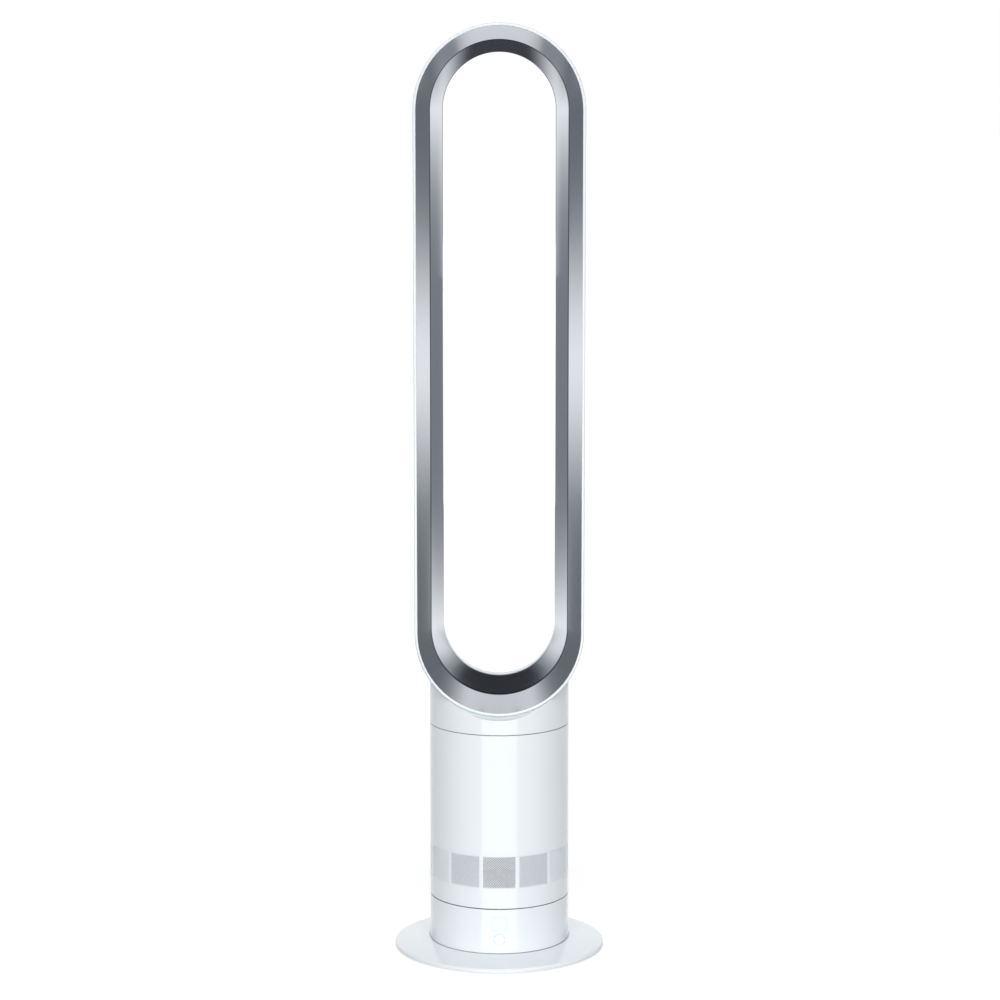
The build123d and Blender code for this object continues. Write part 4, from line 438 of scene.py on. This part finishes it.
# ---- loop sections ----
def cover_section(outer_r, back_y):
    """Wall that curls from the loop's widest line over the crest to the lip at the slot."""
    outer = arc((CREST_R, WIDEST_Y), (outer_r - CREST_R, back_y - WIDEST_Y), 0, 90, CURL_STEPS)
    crest = arc((CREST_R, LIP_Y), (CREST_R - LIP_R, back_y - LIP_Y), 90, 180, CURL_STEPS)
    lip = [(LIP_R, LIP_TIP_Y), (LIP_R + LIP_TIP_T, LIP_TIP_Y)]
    inner_crest = arc(
        (CREST_R, LIP_Y),
        (CREST_R - LIP_R - COVER_WALL, back_y - LIP_Y - COVER_WALL),
        180, 90, CURL_STEPS,
    )
    inner = arc(
        (CREST_R, WIDEST_Y),
        (outer_r - CREST_R - COVER_WALL, back_y - WIDEST_Y - COVER_WALL),
        90, 0, CURL_STEPS,
    )
    return outer + crest[1:] + lip + inner_crest + inner[1:]


def diffuser_section():
    """Straight band that runs without a kink into the rolled nose behind the slot."""
    front = (BAND_R, BAND_Y)
    nose = (THROAT_R + NOSE_R, THROAT_Y)
    reach = math.dist(front, nose)
    towards = math.degrees(math.atan2(front[1] - nose[1], front[0] - nose[0]))
    touch = towards - math.degrees(math.acos(NOSE_R / reach)) + 360
    inner_r = NOSE_R - DIFFUSER_WALL
    outer = arc(nose, (NOSE_R, NOSE_R), touch, NOSE_END_DEG, NOSE_STEPS)
    inner = arc(nose, (inner_r, inner_r), NOSE_END_DEG, touch, NOSE_STEPS)
    turn = math.radians(touch - 180)
    back = (front[0] + DIFFUSER_WALL * math.cos(turn), front[1] + DIFFUSER_WALL * math.sin(turn))
    return [front] + outer + inner + [back]


def bezel_section(outer_r, front_y):
    """Flat band that slopes from the shell's front rim down to the inner band."""
    rim = (outer_r - SHELL_WALL, front_y + BEZEL_RECESS)
    length = math.dist(rim, (BAND_R, BAND_Y))
    along = ((rim[0] - BAND_R) / length, (rim[1] - BAND_Y) / length)
    across = (-along[1], along[0])
    near = (BAND_R + BAND_GAP * along[0], BAND_Y + BAND_GAP * along[1])
    near_back = (near[0] + BEZEL_T * across[0], near[1] + BEZEL_T * across[1])
    run = (rim[0] - near_back[0]) / along[0]
    return [rim, near, near_back, (rim[0], near_back[1] + run * along[1])]


def loop_skin(node, section, path, material, slot_name):
    """One smooth skin for the three butted CAD nodes of a moulding."""
    points, faces = sweep(section, path)
    skin = new_piece(node + "_skin", points, faces, material, "loop", slot_name)
    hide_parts(node + "_top", node + "_bottom", node + "_sides")


def make_loop(materials):
    """Smooth skins: the silver bands are all reflection, which facets would break up."""
    low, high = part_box("loop_shell")
    outer_r = high.x
    back_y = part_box("loop_rear_cover_top")[1].y
    path = loop_path(low.z + outer_r, high.z - outer_r)
    for node, section, slot_name in (
        ("front_bezel", bezel_section(outer_r, low.y), "silver_paint"),
        ("inner_diffuser", diffuser_section(), "silver_paint"),
        ("loop_rear_cover", cover_section(outer_r, back_y), "white_plastic"),
    ):
        loop_skin(node, section, path, materials[slot_name], slot_name)


# ---- inlet grille ----
def diamond(i, j):
    """Corners of the diamond round a lattice point, those off the panel left out."""
    corners = [(i - 1, j), (i, j - 1), (i + 1, j), (i, j + 1)]
    return [c for c in corners if 0 <= c[0] <= LAST_I and 0 <= c[1] <= LAST_J]


def perforate(place):
    """One panel: staggered diamonds with holes, and plain half diamonds along its edges.
    Returns its points, its faces and the edges of its holes."""
    points = []
    faces = []
    holes = []
    shared = {}

    def corner(i, j):
        if (i, j) not in shared:
            shared[i, j] = len(points)
            points.append(place(i, j))
        return shared[i, j]

    for j in range(LAST_J + 1):
        for i in range(j % 2, LAST_I + 1, 2):
            around = diamond(i, j)
            if len(around) == 2:
                around.append((i, j))
            outer = [corner(*c) for c in around]
            if len(around) == 3:
                faces.append(tuple(outer))
                continue
            start = len(points)
            points.extend(place(blend(i, a, HOLE_SHARE), blend(j, b, HOLE_SHARE)) for a, b in around)
            for k in range(4):
                m = (k + 1) % 4
                faces.append((outer[k], outer[m], start + m, start + k))
                holes.append((start + k, start + m))
    return points, faces, holes


def make_panel(middle, face_r, low_z, high_z, points, faces):
    """Add a perforated panel whose holes all run straight in, so that it looks darkest from the front."""
    span = 2 * math.pi / PANELS - BAR / face_r

    def place(i, j):
        angle = middle + span * (i / LAST_I - 0.5)
        return face_r * math.cos(angle), face_r * math.sin(angle), blend(low_z, high_z, j / LAST_J)

    front_points, front_faces, holes = perforate(place)
    front = len(points)
    back = front + len(front_points)
    back_x = PANEL_T * math.cos(middle)
    back_y = PANEL_T * math.sin(middle)
    points.extend(front_points)
    points.extend((x - back_x, y - back_y, z) for x, y, z in front_points)
    for face in front_faces:
        faces.append(tuple(front + k for k in face))
        faces.append(tuple(back + k for k in reversed(face)))
    for k, m in holes:
        faces.append((front + k, front + m, back + m, back + k))


def make_grille(materials):
    """Perforation in every window, cut as real holes."""
    low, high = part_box("inlet_grille")
    face_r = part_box("main_housing")[1].x - PANEL_INSET
    points = []
    faces = []
    for panel in range(PANELS):
        middle = -math.pi / 2 + 2 * math.pi * panel / PANELS
        make_panel(middle, face_r, low.z + FRAME_H, high.z - FRAME_H, points, faces)
    piece = new_piece("grille_fine", points, faces, materials["white_plastic"], "upper", "white_plastic")
    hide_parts("inlet_grille")


# ---- stage, light and camera ----
def background_rays(tree, *kinds):
    """1 for the named kinds of ray, 0 for the others."""
    path = tree.nodes.new("ShaderNodeLightPath")
    total = Value(tree, path.outputs[kinds[0]])
    for kind in kinds[1:]:
        total = total.do("MAXIMUM", Value(tree, path.outputs[kind]))
    return total


def make_floor():
    """Floor that is white to the camera and doesn't show in reflections."""
    bpy.ops.mesh.primitive_plane_add(size=FLOOR_SIZE, location=(0, 0, 0))
    floor = bpy.context.object
    floor.name = "floor"
    floor.visible_glossy = False
    plain = bpy.data.materials.new("floor_white")
    plain.use_nodes = True
    tree = plain.node_tree
    shader = tree.nodes["Principled BSDF"]
    shader.inputs["Base Color"].default_value = (*FLOOR_COLOUR, 1.0)
    shader.inputs["Roughness"].default_value = 1.0
    shader.inputs["Specular IOR Level"].default_value = 0.0
    shader.inputs["Emission Color"].default_value = (*WHITE, 1.0)
    glow = background_rays(tree, "Is Camera Ray") * FLOOR_GLOW
    link(tree, glow.socket, shader.inputs["Emission Strength"])
    floor.data.materials.append(plain)


def glossy_card(name, outline, y):
    """Upright glowing card that only reflections see. Returns its node tree and its emission."""
    mesh = bpy.data.meshes.new(name)
    mesh.from_pydata([(x, y, z) for x, z in outline], [], [tuple(range(len(outline)))])
    card = bpy.data.objects.new(name, mesh)
    bpy.context.scene.collection.objects.link(card)
    card.visible_camera = False
    card.visible_diffuse = False
    card.visible_shadow = False
    card.visible_transmission = False
    glow = bpy.data.materials.new(name)
    glow.use_nodes = True
    tree = glow.node_tree
    tree.nodes.remove(tree.nodes["Principled BSDF"])
    emission = tree.nodes.new("ShaderNodeEmission")
    link(tree, emission.outputs["Emission"], tree.nodes["Material Output"].inputs["Surface"])
    mesh.materials.append(glow)
    return tree, emission


def rectangle(half_x, low_z, high_z):
    return [(-half_x, low_z), (half_x, low_z), (half_x, high_z), (-half_x, high_z)]


def graded_card(name, outline, y, shade):
    """Card whose glow is worked out from the place on it: distance to the side, and height."""
    tree, emission = glossy_card(name, outline, y)
    side, height = side_and_height(tree, tree.nodes.new("ShaderNodeTexCoord"))
    glow = shade(side, height) / SILVER
    tint = colour_mix(tree, DARK_TINT, WHITE, glow.fade(OUTER_DARK, LEG_LIGHT).socket)
    link(tree, tint, emission.inputs["Color"])
    link(tree, glow.socket, emission.inputs["Strength"])


def leg_height(z, card_y, image):
    """Height on the leg that mirrors this height of the card to the camera."""
    spread = (card_y - image[0]) * image[1]
    return (z + spread * CAMERA_AT[2]) / (1 + spread)


def outer_leg(z, card_y):
    """Dark ends and a bright middle."""
    off = (leg_height(z, card_y, OUTER_IMAGE) - LEG_LIGHT_Z) / LEG_LIGHT_W
    return (off * off * -1.0).do("EXPONENT") * LEG_LIGHT + OUTER_DARK


def inner_leg(z, card_y, pace=1.0):
    """Bright ends and a grey middle. Pace tells how fast the light fades away from the ends."""
    low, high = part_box("loop_shell")
    height = leg_height(z, card_y, INNER_IMAGE)
    below_top = height * -1.0 + (high.z - high.x)
    to_end = below_top.do("MINIMUM", height - (low.z + high.x))
    depth = (to_end * pace / INNER_FADE_Z).do("MAXIMUM", 0.0).do("POWER", INNER_FADE_POWER)
    decay = (depth * -1.0).do("EXPONENT")
    return (decay * (1 - INNER_GREY) + INNER_GREY) * INNER_LIGHT


def upper_shade(side, z):
    """Top arcs and the legs' upper parts."""
    leg = (outer_leg(z, NEAR_Y) - OUTER_DARK) * side.fade(*UPPER_OUTER_LEG_X)
    outer = leg + side.fade(*UPPER_OUTER_DIM_X, CROWN_LIGHT, 0.0) + OUTER_DARK
    pace = side.fade(*UPPER_INNER_LEG_X, UPPER_INNER_PACE, 1.0)
    inner = inner_leg(z, NEAR_Y, pace) * side.fade(*UPPER_INNER_DIM_X, UPPER_INNER_CROWN, 1.0)
    drop = (z - UPPER_ARC_Z) * UPPER_ARC_STRETCH
    reach = (side * side + drop * drop).do("SQRT")
    crown = reach.fade(*UPPER_OUTER_REACH) * side.fade(*UPPER_OUTER_CROWN_X, 1.0, 0.0)
    return blend(inner, outer, crown.do("MAXIMUM", side.fade(*UPPER_OUTER_X)))


def lower_shade(side, z):
    """The legs' lower parts, and beside them the sides of the bottom arcs."""
    leg = (outer_leg(z, NEAR_Y) - OUTER_DARK) * side.fade(*LOWER_OUTER_LEG_X, 1.0, 0.0)
    in_arc = side.fade(*LOWER_INNER_ARC_X)
    inner = inner_leg(z, NEAR_Y, in_arc * (LOWER_INNER_PACE - 1.0) + 1.0)
    dimmed = inner * z.fade(*LOWER_INNER_DIM_Z, 1.0, LOWER_INNER_LEFT)
    inner = blend(inner, dimmed, in_arc)
    return blend(inner, leg + OUTER_DARK, side.fade(*LOWER_OUTER_X))


def far_shade(side, z):
    """The legs' middles, and above them the bottom arcs, whose images stand upside down."""
    legs = blend(inner_leg(z, FAR_Y), outer_leg(z, FAR_Y), side.fade(*FAR_OUTER_LEG_X))
    rise = (z - FAR_ARC_Z) / FAR_ARC_STRETCH
    reach = (side * side + rise * rise).do("SQRT")
    outer = side.fade(*FAR_OUTER_DIM_X, CROWN_LIGHT, 0.0) + OUTER_DARK
    inner = z.fade(*FAR_INNER_DIM_Z, FAR_INNER_LIGHT, CROWN_DARK)
    arcs = blend(inner, outer, reach.fade(*FAR_OUTER_REACH))
    return blend(legs, arcs, z.fade(*FAR_ARC_START_Z))


def arched_outline():
    """Outline of the upper card: straight at the top, and arched up at the bottom's two sides."""
    turns = [math.pi * i / ARCH_STEPS for i in range(ARCH_STEPS + 1)]
    arch = [(-UPPER_HALF_X * math.cos(a), UPPER_ARC_Z - UPPER_ARCH_H * math.sin(a)) for a in turns]
    return arch + [(UPPER_HALF_X, UPPER_HIGH_Z), (-UPPER_HALF_X, UPPER_HIGH_Z)]


def gated_outline():
    """Outline of the far card, with the opening in its lower edge."""
    first, *others = rectangle(FAR_HALF_X, FAR_LOW_Z, FAR_HIGH_Z)
    gate = [
        (-GATE_HALF_X, FAR_LOW_Z),
        (-GATE_HALF_X, GATE_HIGH_Z),
        (GATE_HALF_X, GATE_HIGH_Z),
        (GATE_HALF_X, FAR_LOW_Z),
    ]
    return [first, *gate, *others]


def make_cards():
    """Cards for the silver bands, and the one for the drum's stripe."""
    graded_card("upper_card", arched_outline(), NEAR_Y, upper_shade)
    graded_card("lower_card", rectangle(LOWER_HALF_X, LOWER_LOW_Z, LOWER_HIGH_Z), NEAR_Y, lower_shade)
    graded_card("far_card", gated_outline(), FAR_Y, far_shade)
    stripe = rectangle(STRIPE_HALF_X, STRIPE_LOW_Z, STRIPE_HIGH_Z)
    _, emission = glossy_card("stripe_card", stripe, STRIPE_Y)
    emission.inputs["Strength"].default_value = STRIPE_LIGHT


def make_world():
    """White for the camera and for reflections, a soft fill for the object."""
    world = bpy.data.worlds.new("studio")
    bpy.context.scene.world = world
    world.use_nodes = True
    tree = world.node_tree
    seen = background_rays(tree, "Is Camera Ray", "Is Glossy Ray", "Is Transmission Ray")
    shade = colour_mix(tree, FILL, WHITE, seen.socket)
    link(tree, shade, tree.nodes["Background"].inputs["Color"])


def soft_light(name, shade, azimuth_deg, height_deg):
    """Wide soft light from one side, at the same level everywhere. Reflections don't see it."""
    lamp = bpy.data.lights.new(name, "SUN")
    lamp.energy = shade * math.pi
    lamp.angle = math.radians(LIGHT_SPREAD_DEG)
    holder = bpy.data.objects.new(name, lamp)
    holder.rotation_euler = (math.radians(90 - height_deg), 0, math.radians(azimuth_deg))
    holder.visible_glossy = False
    bpy.context.scene.collection.objects.link(holder)


def make_lights():
    soft_light("front_light", FRONT_LIGHT, 0, FRONT_HEIGHT_DEG)
    for side in (-1, 1):
        soft_light("rear_light", REAR_LIGHT, side * REAR_TURN_DEG, REAR_HEIGHT_DEG)


def make_camera():
    camera = bpy.data.objects.new("camera", bpy.data.cameras.new("camera"))
    camera.data.lens = LENS_MM
    camera.data.sensor_width = SENSOR_MM
    camera.location = CAMERA_AT
    camera.rotation_euler = (math.radians(90 - CAMERA_PITCH_DEG), 0, 0)
    bpy.context.scene.collection.objects.link(camera)
    bpy.context.scene.camera = camera


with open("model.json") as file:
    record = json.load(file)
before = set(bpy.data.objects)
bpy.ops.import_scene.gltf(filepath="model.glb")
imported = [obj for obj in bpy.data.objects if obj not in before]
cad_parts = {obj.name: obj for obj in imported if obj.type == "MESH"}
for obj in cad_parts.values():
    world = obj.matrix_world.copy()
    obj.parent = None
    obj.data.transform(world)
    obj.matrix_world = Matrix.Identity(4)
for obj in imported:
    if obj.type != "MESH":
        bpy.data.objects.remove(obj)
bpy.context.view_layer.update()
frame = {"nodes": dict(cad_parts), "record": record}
bpy.context.scene.view_settings.view_transform = "Standard"
materials = make_materials()
dress_nodes(frame, materials)
make_loop(materials)
make_grille(materials)
make_floor()
make_cards()
make_world()
make_lights()
make_camera()
